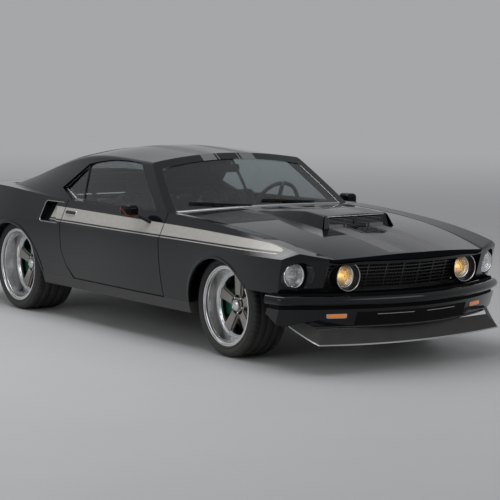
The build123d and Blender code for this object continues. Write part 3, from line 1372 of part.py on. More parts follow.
SEAT_X = DOOR_FRONT_X - 682
SEAT_Y = 375
SEAT_HALF = 235
seat_floor_z = FLOOR_TOP_Z + SEAT_GAP
# Columns: dx from the seat's place, z, from the front foot round over the backrest
SEAT_PROFILE = [
    (300, seat_floor_z),
    (330, 400),
    (300, 452),
    (-130, 415),
    (-290, 960),
    (-390, 950),
    (-290, 420),
    (-240, seat_floor_z),
]
with BuildPart() as left_seat:
    with BuildSketch(beside(SEAT_Y + SEAT_HALF)):
        with BuildLine():
            Polyline(*[(SEAT_X + dx, z) for dx, z in SEAT_PROFILE], close=True)
        make_face()
    extrude(amount=2 * SEAT_HALF)
with BuildPart() as front_seats:
    add(left_seat.part)
    add(mirrored(left_seat.part))
save(front_seats.part, "front_seats")
REAR_SEAT_HALF = REAR_FLOOR_HALF - 20
REAR_SEAT_TOP_Z = 860
rear_seat_z = REAR_FLOOR_Z + FLOOR_WALL + SEAT_GAP
kick_face = KICK_X + FLOOR_WALL / 2 + SEAT_GAP
# Columns: dx from the floor's kick-up, z, from the front foot round over the backrest
REAR_SEAT_PROFILE = [
    (130, seat_floor_z),
    (130, rear_seat_z + 40),
    (-180, rear_seat_z + 20),
    (-300, REAR_SEAT_TOP_Z),
    (-370, REAR_SEAT_TOP_Z),
    (-370, rear_seat_z),
    (0, rear_seat_z),
    (0, seat_floor_z),
]
with BuildPart() as rear_seat:
    with BuildSketch(beside(REAR_SEAT_HALF)):
        with BuildLine():
            Polyline(*[(kick_face + dx, z) for dx, z in REAR_SEAT_PROFILE], close=True)
        make_face()
    extrude(amount=2 * REAR_SEAT_HALF)
    Box(2 * FAR, 2 * TUNNEL_HALF + 2, 2 * (TUNNEL_TOP_Z + SEAT_GAP), mode=Mode.SUBTRACT)
save(rear_seat.part, "rear_seat")
CONSOLE = (600, 200, 100)
CONSOLE_X = FRONT_AXLE_X - 1221.5
CONSOLE_ROUND = 20
with BuildPart() as centre_console:
    with Locations((CONSOLE_X, 0, TUNNEL_TOP_Z + SEAT_GAP + CONSOLE[2] / 2)):
        Box(*CONSOLE)
    fillet(centre_console.faces().sort_by(Axis.Z)[-1].edges(), CONSOLE_ROUND)
save(centre_console.part, "centre_console")

# Door mirrors: a rounded pod on a slanted stalk that stands on the door's shoulder
MIRROR = (120, 95, 85)
MIRROR_ROUND = 28
MIRROR_AT = Vector(DOOR_FRONT_X - 287, HALF_WIDTH + 45, 884)
MIRROR_FOOT = Vector(DOOR_FRONT_X - 152, HALF_WIDTH - 64, 800)
STALK_R = 12
stalk = MIRROR_AT - MIRROR_FOOT
with BuildPart() as pod:
    with Locations(MIRROR_AT):
        Box(*MIRROR)
    fillet(pod.edges(), MIRROR_ROUND)
with BuildPart() as left_mirror:
    with BuildSketch(Plane(origin=MIRROR_FOOT, z_dir=stalk)):
        Circle(STALK_R)
    extrude(amount=stalk.length - MIRROR[1] / 3)
    add(seat_body, mode=Mode.SUBTRACT)
    add(pod.part)
save(left_mirror.part, "left_mirror")
save(mirrored(left_mirror.part), "right_mirror")
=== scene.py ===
from math import cos, pi, radians, sin, sqrt

import bpy
import numpy as np
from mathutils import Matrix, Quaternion, Vector
from mathutils.bvhtree import BVHTree
from mathutils.geometry import convex_hull_2d


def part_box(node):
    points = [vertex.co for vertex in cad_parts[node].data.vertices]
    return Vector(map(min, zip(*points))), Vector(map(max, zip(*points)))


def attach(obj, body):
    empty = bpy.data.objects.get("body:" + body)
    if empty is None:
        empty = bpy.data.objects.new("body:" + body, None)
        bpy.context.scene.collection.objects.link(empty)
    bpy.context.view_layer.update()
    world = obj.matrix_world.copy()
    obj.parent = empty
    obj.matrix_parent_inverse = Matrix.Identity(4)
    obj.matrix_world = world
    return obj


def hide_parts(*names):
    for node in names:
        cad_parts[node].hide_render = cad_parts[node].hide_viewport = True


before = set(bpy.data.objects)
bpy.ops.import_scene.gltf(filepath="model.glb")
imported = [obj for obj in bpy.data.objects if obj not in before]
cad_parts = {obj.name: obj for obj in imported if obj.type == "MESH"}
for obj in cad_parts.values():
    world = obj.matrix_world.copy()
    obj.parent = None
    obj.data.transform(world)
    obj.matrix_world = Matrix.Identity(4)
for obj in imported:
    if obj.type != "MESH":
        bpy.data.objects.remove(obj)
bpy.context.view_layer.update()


# Chassis: a welded floor pan with front rails and aprons, forged arms and leaf springs.
# Pressed steel sprayed satin black, dulled by road dust on whatever sits low.
def effect(name, inputs, outputs):
    """An empty shader node group with its sockets; returns the group, its input and its output."""
    group = bpy.data.node_groups.new(name, "ShaderNodeTree")
    for label, kind, value in inputs:
        socket = group.interface.new_socket(label, in_out="INPUT", socket_type="NodeSocket" + kind)
        socket.default_value = value
    for label, kind in outputs:
        group.interface.new_socket(label, in_out="OUTPUT", socket_type="NodeSocket" + kind)
    return group, group.nodes.new("NodeGroupInput"), group.nodes.new("NodeGroupOutput")


def sum_node(tree, operation, first, second):
    """A math node on two values, each a number or a socket; returns its output."""
    node = tree.nodes.new("ShaderNodeMath")
    node.operation = operation
    for socket, value in zip(node.inputs, (first, second)):
        if isinstance(value, (int, float)):
            socket.default_value = value
        else:
            tree.links.new(value, socket)
    return node.outputs[0]


def spread_between(tree, value, low, high):
    """A map range node that takes low..high to 0..1, smoothly; returns its output."""
    node = tree.nodes.new("ShaderNodeMapRange")
    node.interpolation_type = "SMOOTHSTEP"
    tree.links.new(value, node.inputs["Value"])
    for label, bound in (("From Min", low), ("From Max", high)):
        if isinstance(bound, (int, float)):
            node.inputs[label].default_value = bound
        else:
            tree.links.new(bound, node.inputs[label])
    return node.outputs["Result"]


def noise_of(tree, vector, scale, detail=4.0):
    """A noise node on the piece's own metres; returns its value."""
    node = tree.nodes.new("ShaderNodeTexNoise")
    node.inputs["Detail"].default_value = detail
    tree.links.new(vector, node.inputs["Vector"])
    if isinstance(scale, (int, float)):
        node.inputs["Scale"].default_value = scale
    else:
        tree.links.new(scale, node.inputs["Scale"])
    return node.outputs["Fac"]


def metres(tree):
    """Places on a piece, in metres of the car's own frame."""
    return tree.nodes.new("ShaderNodeTexCoord").outputs["Object"]


uneven, uneven_in, uneven_out = effect(
    "uneven_finish",
    [("Colour", "Color", (1, 1, 1, 1)), ("Roughness", "Float", 0.4), ("Scale", "Float", 6.0),
     ("Shade", "Float", 0.2), ("Spread", "Float", 0.1)],
    [("Colour", "Color"), ("Roughness", "Float")],
)
cloud = sum_node(uneven, "SUBTRACT", noise_of(uneven, metres(uneven), uneven_in.outputs["Scale"]), 0.5)
tone = uneven.nodes.new("ShaderNodeHueSaturation")
brightness = sum_node(uneven, "MULTIPLY", cloud, uneven_in.outputs["Shade"])
uneven.links.new(sum_node(uneven, "ADD", brightness, 1.0), tone.inputs["Value"])
uneven.links.new(uneven_in.outputs["Colour"], tone.inputs["Color"])
uneven.links.new(tone.outputs["Color"], uneven_out.inputs["Colour"])
dulled = sum_node(uneven, "MULTIPLY", cloud, uneven_in.outputs["Spread"])
gloss = sum_node(uneven, "ADD", dulled, uneven_in.outputs["Roughness"])
uneven.links.new(gloss, uneven_out.inputs["Roughness"])

DUST_FLOOR = 0.1
DUST_PATCHES = 9.0
DUST_COLOUR = (0.2, 0.185, 0.165, 1)
dust, dust_in, dust_out = effect(
    "road_dust",
    [("Colour", "Color", (1, 1, 1, 1)), ("Roughness", "Float", 0.4), ("Amount", "Float", 0.2),
     ("Height", "Float", 0.45)],
    [("Colour", "Color"), ("Roughness", "Float")],
)
dust_place = metres(dust)
dust_axes = dust.nodes.new("ShaderNodeSeparateXYZ")
dust.links.new(dust_place, dust_axes.inputs[0])
above = spread_between(dust, dust_axes.outputs["Z"], DUST_FLOOR, dust_in.outputs["Height"])
low_down = sum_node(dust, "SUBTRACT", 1.0, above)
settled = sum_node(dust, "MULTIPLY", low_down, noise_of(dust, dust_place, DUST_PATCHES))
dusty = sum_node(dust, "MULTIPLY", settled, dust_in.outputs["Amount"])
dust_mix = dust.nodes.new("ShaderNodeMix")
dust_mix.data_type = "RGBA"
dust.links.new(dusty, dust_mix.inputs["Factor"])
dust.links.new(dust_in.outputs["Colour"], dust_mix.inputs["A"])
dust_mix.inputs["B"].default_value = DUST_COLOUR
dust.links.new(dust_mix.outputs["Result"], dust_out.inputs["Colour"])
dust.links.new(sum_node(dust, "ADD", dust_in.outputs["Roughness"], dusty), dust_out.inputs["Roughness"])

grain, grain_in, grain_out = effect(
    "fine_grain",
    [("Scale", "Float", 400.0), ("Stretch", "Vector", (1, 1, 1))],
    [("Height", "Float")],
)
stretched = grain.nodes.new("ShaderNodeVectorMath")
stretched.operation = "MULTIPLY"
grain.links.new(metres(grain), stretched.inputs[0])
grain.links.new(grain_in.outputs["Stretch"], stretched.inputs[1])
grain_height = noise_of(grain, stretched.outputs["Vector"], grain_in.outputs["Scale"], 2.0)
grain.links.new(grain_height, grain_out.inputs["Height"])


def place_effect(material, group, **values):
    """One of the shared effects in a material, with its own values; a value may be a socket."""
    node = material.node_tree.nodes.new("ShaderNodeGroup")
    node.node_tree = group
    for label, value in values.items():
        if isinstance(value, bpy.types.NodeSocket):
            material.node_tree.links.new(value, node.inputs[label])
        else:
            node.inputs[label].default_value = value
    return node


def finish(name, colour, roughness, metallic=0.0, shade=0.3, spread=0.12, scale=6.0, dusting=0.0,
           grain_scale=500.0, stretch=(1, 1, 1), grain_depth=0.0001):
    """A finish whose tone and gloss drift over the surface, with a fine grain and settled dust."""
    material = bpy.data.materials.new(name)
    material.use_nodes = True
    links = material.node_tree.links
    shader = material.node_tree.nodes["Principled BSDF"]
    shader.inputs["Metallic"].default_value = metallic
    last = place_effect(material, uneven, Colour=(*colour, 1), Roughness=roughness, Scale=scale,
                        Shade=shade, Spread=spread)
    if dusting:
        last = place_effect(material, dust, Colour=last.outputs["Colour"],
                            Roughness=last.outputs["Roughness"], Amount=dusting)
    links.new(last.outputs["Colour"], shader.inputs["Base Color"])
    links.new(last.outputs["Roughness"], shader.inputs["Roughness"])
    rough = place_effect(material, grain, Scale=grain_scale, Stretch=stretch)
    bump = material.node_tree.nodes.new("ShaderNodeBump")
    bump.inputs["Distance"].default_value = grain_depth
    links.new(rough.outputs["Height"], bump.inputs["Height"])
    links.new(bump.outputs["Normal"], shader.inputs["Normal"])
    return material


def dress(material, *names):
    """Gives CAD nodes their finish."""
    for name in names:
        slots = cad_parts[name].data.materials
        slots.clear()
        slots.append(material)


chassis_black = finish("chassis_black", (0.018, 0.018, 0.02), 0.5, dusting=0.7)
dress(chassis_black, "floor_pan", "front_structure", "front_suspension", "leaf_springs")

# Engine block, gearbox, axle and knuckles: sand-cast iron, left grey and a little oily.
# Exhaust and tank: aluminised sheet, dull silver with a directionless grain.
cast_iron = finish("cast_iron", (0.06, 0.06, 0.063), 0.55, 0.6, dusting=0.4, grain_scale=260,
                   grain_depth=0.0006)
dress(cast_iron, "engine", "driveline", "rear_axle", "left_knuckle", "right_knuckle")
aluminised = finish("aluminised", (0.42, 0.42, 0.43), 0.38, 1.0, dusting=0.4)
dress(aluminised, "exhaust", "fuel_tank")

# Brake discs: turned cast iron, swept bright by the pads and clamped behind each wheel.
# Calipers: machined alloy blocks in gloss green, each straddling its disc.
disc_iron = finish("disc_iron", (0.34, 0.34, 0.35), 0.3, 1.0, grain_scale=900, stretch=(1, 0.05, 1))
caliper_green = finish("caliper_green", (0.003, 0.085, 0.045), 0.3, shade=0.15)
caliper_green.node_tree.nodes["Principled BSDF"].inputs["Coat Weight"].default_value = 0.6
wheels = [(side, end) for side in ("left", "right") for end in ("front", "rear")]
dress(disc_iron, *[f"{side}_{end}_disc" for side, end in wheels])
dress(caliper_green, "left_front_caliper", "right_front_caliper", "rear_calipers")


# Tyres: low-profile rubber, moulded with four round grooves, cut shoulder blocks and a rim guard.
# Each is one turned form whose shoulder columns drop where a slot crosses the block.
SHARP_FROM = radians(35)
SIDES = (("left", 1), ("right", -1))


def piece(name, verts, faces, materials, body, slot, face_kinds=None):
    """A finished mesh that rides on a body; face_kinds picks each face's material."""
    mesh = bpy.data.meshes.new(name)
    mesh.from_pydata([tuple(v) for v in verts], [], faces)
    mesh.update()
    for material in materials:
        mesh.materials.append(material)
    mesh.polygons.foreach_set("use_smooth", [True] * len(mesh.polygons))
    if face_kinds is not None:
        mesh.polygons.foreach_set("material_index", face_kinds)
    mesh.set_sharp_from_angle(angle=SHARP_FROM)
    obj = bpy.data.objects.new(name, mesh)
    bpy.context.scene.collection.objects.link(obj)
    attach(obj, body)
    return obj


def turned(rings, closed):
    """Quads between rings of points, each a loop; closed joins the last ring to the first."""
    count, size = len(rings), len(rings[0])
    verts = [point for ring in rings for point in ring]
    faces = []
    for i in range(count if closed else count - 1):
        here, there = i * size, (i + 1) % count * size
        for j in range(size):
            k = (j + 1) % size
            faces.append((here + j, here + k, there + k, there + j))
    return verts, faces


def about_y(profile, steps):
    """Rings of (x, y, z) points about the Y axis from a profile of (radius, y)."""
    turns = [2 * pi * j / steps for j in range(steps)]
    return [[(r * cos(a), y, r * sin(a)) for a in turns] for r, y in profile]


def joined(*meshes):
    """Several (verts, faces) as one, with the index of the mesh that each face came from."""
    verts, faces, kinds = [], [], []
    for kind, (more_verts, more_faces) in enumerate(meshes):
        start = len(verts)
        verts += list(more_verts)
        faces += [tuple(i + start for i in face) for face in more_faces]
        kinds += [kind] * len(more_faces)
    return verts, faces, kinds


def set_at(verts, faces, centre, side):
    """A left wheel's mesh moved to its centre, and mirrored for the right side."""
    cx, cy, cz = centre
    placed = [(cx + x, side * (cy + y), cz + z) for x, y, z in verts]
    if side < 0:
        faces = [tuple(reversed(face)) for face in faces]
    return placed, faces


rubber = finish("rubber", (0.012, 0.012, 0.0125), 0.62, shade=0.5, dusting=0.25, grain_scale=900)
# Columns: axle x, middle y, tyre radius, width, rim radius, depth of the dish
WHEELS = {
    "front": (1.3715, 0.672, 0.334, 0.275, 0.264, 0.095),
    "rear": (-1.3715, 0.690, 0.340, 0.325, 0.273, 0.130),
}
BLOCKS = 60
BLOCK_STEPS = 4
GROOVE = 0.0085
GROOVE_HALF = 0.0065
GROOVE_PLACES = (-0.30, -0.105, 0.105, 0.30)
# Columns: share of the groove's half width, drop below the tread
GROOVE_SHAPE = ((-1.25, 0.0004), (-1, 0.0015), (-0.8, GROOVE), (0.8, GROOVE), (1, 0.0015), (1.25, 0.0004))
SLOT_DEPTH = 0.006
SHOULDER_FROM = 0.32
SHOULDER_DEEP = 0.015
for end, (axle_x, middle_y, tyre_r, width, rim_r, dish) in WHEELS.items():
    half = width / 2
    tread = []
    for place in GROOVE_PLACES:
        groove_y = place * width
        for dy, drop in GROOVE_SHAPE:
            tread.append((tyre_r - drop, groove_y + dy * GROOVE_HALF))
    flank = [
        (rim_r - 0.016, half - 0.0145), (rim_r + 0.0005, half - 0.0142), (rim_r + 0.001, half - 0.006),
        (rim_r + 0.004, half - 0.0015), (rim_r + 0.007, half + 0.0005), (rim_r + 0.011, half - 0.0005),
        (rim_r + 0.014, half - 0.0022), (rim_r + 0.022, half + 0.0012), (rim_r + 0.034, half + 0.0026),
        (rim_r + 0.040, half + 0.0024), (rim_r + 0.0405, half + 0.0016), (tyre_r - 0.026, half - 0.0005),
        (tyre_r - 0.019, half - 0.004), (tyre_r - 0.012, half - 0.0085), (tyre_r - 0.006, half - 0.014),
        (tyre_r - 0.0022, half - 0.021), (tyre_r - 0.0006, half - 0.029),
    ]
    profile = [(r, -y) for r, y in flank] + tread + [(r, y) for r, y in reversed(flank)]
    rings = about_y(profile, BLOCKS * BLOCK_STEPS)
    for (r, y), ring in zip(profile, rings):
        if abs(y) > SHOULDER_FROM * width and r > tyre_r - SHOULDER_DEEP:
            scale = (r - SLOT_DEPTH) / r
            for j in range(0, len(ring), BLOCK_STEPS):
                x, ring_y, z = ring[j]
                ring[j] = (x * scale, ring_y, z * scale)
    tyre_mesh = turned(rings, True)
    for side_name, side in SIDES:
        verts, faces = set_at(*tyre_mesh, (axle_x, middle_y, tyre_r), side)
        tyre = piece(f"{side_name}_{end}_tyre_rubber", verts, faces, [rubber],
                     f"{side_name}_{end}_wheel", "tyre")
        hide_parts(f"{side_name}_{end}_tyre")


# Rims: a polished spun barrel with a deep lip, and a satin five-spoke centre held by a ring of rivets.
# Each flat spoke has a lower ledge along its sides; a domed bright cap and five nuts, each on a flat disc of
# painted shade for its sunk hole, close the hub.
def domes(places, radius, rise, steps=10):
    """Small rounded heads standing along Y, one at each (x, y, z)."""
    parts = []
    for x, y, z in places:
        shape = [(radius, -0.002), (radius, 0.3 * rise), (0.8 * radius, 0.75 * rise), (0.35 * radius, rise)]
        rings = about_y(shape, steps)
        rings = [[(x + a, y + b, z + c) for a, b, c in ring] for ring in rings]
        verts, faces = turned(rings, False)
        faces.append(tuple(range(3 * steps, 4 * steps)))
        parts.append((verts, faces))
    verts, faces, _ = joined(*parts)
    return verts, faces


def ring_of(count, radius, y, start=0.0):
    """Places spaced evenly round the wheel's axis."""
    turns = [start + 2 * pi * i / count for i in range(count)]
    return [(radius * cos(a), y, radius * sin(a)) for a in turns]


polished = finish("polished_lip", (0.74, 0.745, 0.755), 0.21, 1.0, shade=0.03, spread=0.03,
                  grain_scale=900, grain_depth=0.00001)
satin_alloy = finish("satin_alloy", (0.36, 0.345, 0.32), 0.36, 1.0, shade=0.12, grain_scale=1500)
# Dead black with almost no reflection: painted shade, standing for holes, recesses, gaps and dark mouths.
painted_shade = finish("painted_shade_black", (0.006, 0.006, 0.006), 0.65)
painted_shade.node_tree.nodes["Principled BSDF"].inputs["Specular IOR Level"].default_value = 0.08
bright = finish("bright_metal", (0.72, 0.725, 0.735), 0.12, 1.0, shade=0.1, spread=0.05)
SPOKES = 5
SPOKE_DEPTH = 0.034
SPOKE_HALF = 0.025
SPOKE_TAPER = 0.009
SPOKE_FOOT = 0.010
LEDGE_WIDE = 0.009
LEDGE_DROP = 0.013
RING_WIDTH = 0.030
HUB_R = 0.070
NUT_CIRCLE = 0.052
# Columns: radius of the head, its rise
RIVET_HEAD = (0.0055, 0.005)
NUT_SHADE_DISC = (0.0125, 0.0008)
NUT_HEAD = (0.0075, 0.003)
RIVETS = 30
for end, (axle_x, middle_y, tyre_r, width, rim_r, dish) in WHEELS.items():
    half = width / 2
    lip_y = half - 0.005
    inner_r = rim_r - 0.0383
    spoke_y = lip_y - dish
    back_y = -lip_y
    barrel = [
        (rim_r, lip_y - 0.009), (rim_r, lip_y - 0.003), (rim_r - 0.001, lip_y - 0.0008),
        (rim_r - 0.003, lip_y), (rim_r - 0.009, lip_y), (rim_r - 0.0115, lip_y - 0.001),
        (rim_r - 0.013, lip_y - 0.004),
        (rim_r - 0.0145, lip_y - 0.012), (rim_r - 0.0165, lip_y - 0.017), (rim_r - 0.022, lip_y - 0.0185),
        (rim_r - 0.0245, lip_y - 0.021), (rim_r - 0.0258, lip_y - 0.028), (inner_r + 0.004, spoke_y + 0.012),
        (inner_r + 0.0015, spoke_y + 0.003), (inner_r - 0.001, spoke_y),
        (inner_r - RING_WIDTH + 0.002, spoke_y), (inner_r - RING_WIDTH, spoke_y - 0.002),
        (inner_r - RING_WIDTH, spoke_y - 0.016),
        (inner_r, spoke_y - 0.018), (inner_r, back_y), (rim_r, back_y), (rim_r, back_y + 0.009),
        (rim_r - 0.0243, back_y + 0.009), (rim_r - 0.0243, lip_y - 0.009),
    ]
    barrel_mesh = turned(about_y(barrel, 120), True)
    hub_shape = [
        (0.030, spoke_y - SPOKE_DEPTH - 0.012), (HUB_R - 0.010, spoke_y - SPOKE_DEPTH - 0.012),
        (HUB_R - 0.010, spoke_y - SPOKE_DEPTH), (HUB_R, spoke_y - SPOKE_DEPTH), (HUB_R, spoke_y - 0.003),
        (HUB_R - 0.003, spoke_y), (0.030, spoke_y),
    ]
    hub_mesh = turned(about_y(hub_shape, 60), False)
    cap_shape = [
        (0.037, spoke_y - 0.002), (0.037, spoke_y + 0.016), (0.0355, spoke_y + 0.019),
        (0.033, spoke_y + 0.020), (0.031, spoke_y + 0.0185), (0.029, spoke_y + 0.0215),
        (0.020, spoke_y + 0.0255), (0.009, spoke_y + 0.0275), (0.001, spoke_y + 0.028),
    ]
    cap_mesh = turned(about_y(cap_shape, 48), False)
    spoke_parts = []
    reach = inner_r - RING_WIDTH + 0.006
    stations = [HUB_R - 0.022 + (reach - HUB_R + 0.022) * i / 8 for i in range(9)]
    for number in range(SPOKES):
        turn = pi / 2 + 2 * pi * number / SPOKES
        out, across = (cos(turn), sin(turn)), (-sin(turn), cos(turn))
        rings = []
        for i, r in enumerate(stations):
            along = i / (len(stations) - 1)
            face = SPOKE_HALF + SPOKE_TAPER * along + SPOKE_FOOT * max(0.0, along - 0.85) / 0.15
            ledge = face + LEDGE_WIDE * min(1.0, (1.0 - along) / 0.1)
            low, step, high = spoke_y - SPOKE_DEPTH, spoke_y - LEDGE_DROP, spoke_y
            half_shape = [(ledge - 0.004, low), (ledge, step - 0.003), (ledge - 0.002, step),
                          (face + 0.001, step), (face, step + 0.002), (face, high - 0.002),
                          (face - 0.002, high)]
            section = [(-u, y) for u, y in half_shape] + half_shape[::-1]
            rings.append([(r * out[0] + u * across[0], y, r * out[1] + u * across[1]) for u, y in section])
        spoke_parts.append(turned(rings, False))
    spokes = joined(*spoke_parts)[:2]
    rivets = domes(ring_of(RIVETS, inner_r - 0.012, spoke_y), *RIVET_HEAD)
    nut_spots = ring_of(SPOKES, NUT_CIRCLE, spoke_y, pi / 2 + pi / SPOKES)
    # Flat dead black discs under the nuts: painted shade standing for their sunk holes.
    shade_discs = domes(nut_spots, *NUT_SHADE_DISC, 20)
    nuts = domes(nut_spots, *NUT_HEAD, 6)
    verts, faces, kinds = joined(barrel_mesh, hub_mesh, spokes, cap_mesh, rivets, shade_discs, nuts)
    rim_finishes = [polished, satin_alloy, bright, painted_shade]
    finish_of = [0, 1, 1, 2, 2, 3, 2]
    face_kinds = [finish_of[kind] for kind in kinds]
    for side_name, side in SIDES:
        placed, turned_faces = set_at(verts, faces, (axle_x, middle_y, tyre_r), side)
        rim = piece(f"{side_name}_{end}_rim_metal", placed, turned_faces, rim_finishes,
                    f"{side_name}_{end}_wheel", "rim", face_kinds)
        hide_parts(f"{side_name}_{end}_rim")


# Body panels: pressed steel in deep gloss black under clear lacquer, with satin grey stripes masked on.
# Twin bands with a pinstripe run over the hood, roof and decklid; a tapered band runs along each side.
def in_band(tree, value, low, high, soft=0.0012):
    """1 where a value lies between two bounds, each a number or a socket, with a sharp soft edge."""
    rise = spread_between(tree, sum_node(tree, "SUBTRACT", value, low), -soft, soft)
    fall = spread_between(tree, sum_node(tree, "SUBTRACT", value, high), -soft, soft)
    return sum_node(tree, "MULTIPLY", rise, sum_node(tree, "SUBTRACT", 1.0, fall))


def edge_curve(tree, value, start, end, low, high, points):
    """A stripe's edge height against x, drawn by a float curve through (x, z) points."""
    share = tree.nodes.new("ShaderNodeMapRange")
    share.inputs["From Min"].default_value = start
    share.inputs["From Max"].default_value = end
    tree.links.new(value, share.inputs["Value"])
    curve = tree.nodes.new("ShaderNodeFloatCurve")
    line = curve.mapping.curves[0]
    spots = [((x - start) / (end - start), (z - low) / (high - low)) for x, z in points]
    line.points[0].location, line.points[1].location = spots[0], spots[-1]
    for spot in spots[1:-1]:
        line.points.new(*spot)
    curve.mapping.update()
    tree.links.new(share.outputs["Result"], curve.inputs["Value"])
    height = tree.nodes.new("ShaderNodeMapRange")
    height.inputs["To Min"].default_value = low
    height.inputs["To Max"].default_value = high
    tree.links.new(curve.outputs["Value"], height.inputs["Value"])
    return height.outputs["Result"]


STRIPE_GREYS = {"over": (0.165, 0.162, 0.168), "side": (0.42, 0.41, 0.39)}
PAINT_BLACK = (0.0035, 0.0042, 0.0055)
HOOD_BANDS = [(0.108, 0.222), (0.082, 0.091)]
HOOD_LIP = (0.737, 0.741)
SIDE_TOP = [(-1.0, 0.826), (-0.58, 0.824), (0.67, 0.817), (1.392, 0.805), (1.793, 0.791), (1.96, 0.771),
            (2.02, 0.7475)]
SIDE_FOOT = [(-1.0, 0.738), (0.2, 0.741), (1.4, 0.7445), (2.02, 0.7465)]
# Columns: the rear and front x, the lowest and highest z that the stripe's edges are drawn between
SIDE_BOUNDS = (-1.0, 2.02, 0.7, 0.85)
SIDE_SPAN = (-0.87, 2.018)
PIN_DROP = (0.016, 0.010)
STRIPE_METAL = 0.25
UNDERSIDE_ROUGHNESS = 0.85


def body_paint(name, stripes):
    """Gloss black paint; stripes is "over", "side" or "none"."""
    material = bpy.data.materials.new(name)
    material.use_nodes = True
    tree = material.node_tree
    shader = tree.nodes["Principled BSDF"]
    shader.inputs["Specular IOR Level"].default_value = 0.06
    shader.inputs["Coat Roughness"].default_value = 0.015
    shader.inputs["Coat IOR"].default_value = 1.36
    place = metres(tree)
    axes = tree.nodes.new("ShaderNodeSeparateXYZ")
    tree.links.new(place, axes.inputs[0])
    black = place_effect(material, uneven, Colour=(*PAINT_BLACK, 1), Roughness=0.24, Scale=3.0,
                         Shade=0.25, Spread=0.05)
    dusted = place_effect(material, dust, Colour=black.outputs["Colour"],
                          Roughness=black.outputs["Roughness"], Amount=0.05, Height=0.5)
    colour, roughness = dusted.outputs["Colour"], dusted.outputs["Roughness"]
    if stripes == "none":
        shader.inputs["Coat Weight"].default_value = 1.0
    else:
        facing = tree.nodes.new("ShaderNodeSeparateXYZ")
        tree.links.new(tree.nodes.new("ShaderNodeTexCoord").outputs["Normal"], facing.inputs[0])
        if stripes == "over":
            off_centre = sum_node(tree, "ABSOLUTE", axes.outputs["Y"], 0.0)
            bands = [in_band(tree, off_centre, low, high) for low, high in HOOD_BANDS]
            upper = spread_between(tree, facing.outputs["Z"], 0.0, 0.08)
            on_top = sum_node(tree, "MULTIPLY", spread_between(tree, axes.outputs["Z"], *HOOD_LIP), upper)
            mask = sum_node(tree, "MULTIPLY", sum_node(tree, "MAXIMUM", *bands), on_top)
        else:
            top = edge_curve(tree, axes.outputs["X"], *SIDE_BOUNDS, SIDE_TOP)
            foot = edge_curve(tree, axes.outputs["X"], *SIDE_BOUNDS, SIDE_FOOT)
            wide = in_band(tree, axes.outputs["Z"], foot, top)
            pin_low = sum_node(tree, "SUBTRACT", foot, PIN_DROP[0])
            pin_high = sum_node(tree, "SUBTRACT", foot, PIN_DROP[1])
            pin = in_band(tree, axes.outputs["Z"], pin_low, pin_high)
            both = sum_node(tree, "MAXIMUM", wide, pin)
            along = sum_node(tree, "MULTIPLY", both, in_band(tree, axes.outputs["X"], *SIDE_SPAN, 0.003))
            which_side = sum_node(tree, "SIGN", axes.outputs["Y"], 0.0)
            outward = sum_node(tree, "MULTIPLY", facing.outputs["Y"], which_side)
            mask = sum_node(tree, "MULTIPLY", along, spread_between(tree, outward, 0.3, 0.36))
        grey = place_effect(material, uneven, Colour=(*STRIPE_GREYS[stripes], 1), Roughness=0.4,
                            Scale=40.0, Shade=0.3, Spread=0.1)
        mix = tree.nodes.new("ShaderNodeMix")
        mix.data_type = "RGBA"
        tree.links.new(mask, mix.inputs["Factor"])
        tree.links.new(colour, mix.inputs["A"])
        tree.links.new(grey.outputs["Colour"], mix.inputs["B"])
        colour = mix.outputs["Result"]
        blend = tree.nodes.new("ShaderNodeMix")
        tree.links.new(mask, blend.inputs["Factor"])
        tree.links.new(roughness, blend.inputs["A"])
        tree.links.new(grey.outputs["Roughness"], blend.inputs["B"])
        roughness = blend.outputs["Result"]
        lacquer = sum_node(tree, "SUBTRACT", 1.0, mask)
        if stripes == "over":
            lacquer = sum_node(tree, "MULTIPLY", lacquer, upper)
            matte = tree.nodes.new("ShaderNodeMix")
            tree.links.new(upper, matte.inputs["Factor"])
            matte.inputs["A"].default_value = UNDERSIDE_ROUGHNESS
            tree.links.new(roughness, matte.inputs["B"])
            roughness = matte.outputs["Result"]
        tree.links.new(lacquer, shader.inputs["Coat Weight"])
        tree.links.new(sum_node(tree, "MULTIPLY", mask, STRIPE_METAL), shader.inputs["Metallic"])
    tree.links.new(colour, shader.inputs["Base Color"])
    tree.links.new(roughness, shader.inputs["Roughness"])
    return material


plain_paint = body_paint("gloss_black", "none")
over_paint = body_paint("black_with_twin_stripes", "over")
side_paint = body_paint("black_with_side_stripe", "side")
dress(over_paint, "hood", "roof", "decklid", "cowl")
SIDE_PANELS = ("front_fender", "door", "quarter_panel")
dress(side_paint, *[f"{side_name}_{panel}" for side_name, _ in SIDES for panel in SIDE_PANELS])
dress(plain_paint, "nose_panel", "tail_panel", "front_bumper", "rear_bumper", "front_valance")
satin_trim = finish("satin_dark_grey", (0.028, 0.029, 0.031), 0.42, shade=0.3, dusting=0.5, grain_scale=1500)
dress(satin_trim, "chin_spoiler", "rocker_panels")

# Glass: laminated and tempered sheets, lightly tinted, bonded into the shell and the doors.
# Bright extruded strips frame the windscreen and the quarter glass; satin black ones frame the rest.
glass = bpy.data.materials.new("tinted_glass")
glass.use_nodes = True
glass_shader = glass.node_tree.nodes["Principled BSDF"]
glass_shader.inputs["Transmission Weight"].default_value = 1.0
glass_shader.inputs["IOR"].default_value = 1.45
glass_look = place_effect(glass, uneven, Colour=(0.62, 0.67, 0.68, 1), Roughness=0.012, Scale=5.0,
                          Shade=0.05, Spread=0.02)
glass.node_tree.links.new(glass_look.outputs["Colour"], glass_shader.inputs["Base Color"])
glass.node_tree.links.new(glass_look.outputs["Roughness"], glass_shader.inputs["Roughness"])
dress(glass, "windscreen", "rear_window", "quarter_windows", "left_door_glass", "right_door_glass")
satin_black = finish("satin_black", (0.01, 0.01, 0.011), 0.38, shade=0.3, grain_scale=1200)
brushed = finish("brushed_trim", (0.5, 0.505, 0.515), 0.24, 1.0, shade=0.15, grain_scale=900,
                 stretch=(0.1, 1, 1))
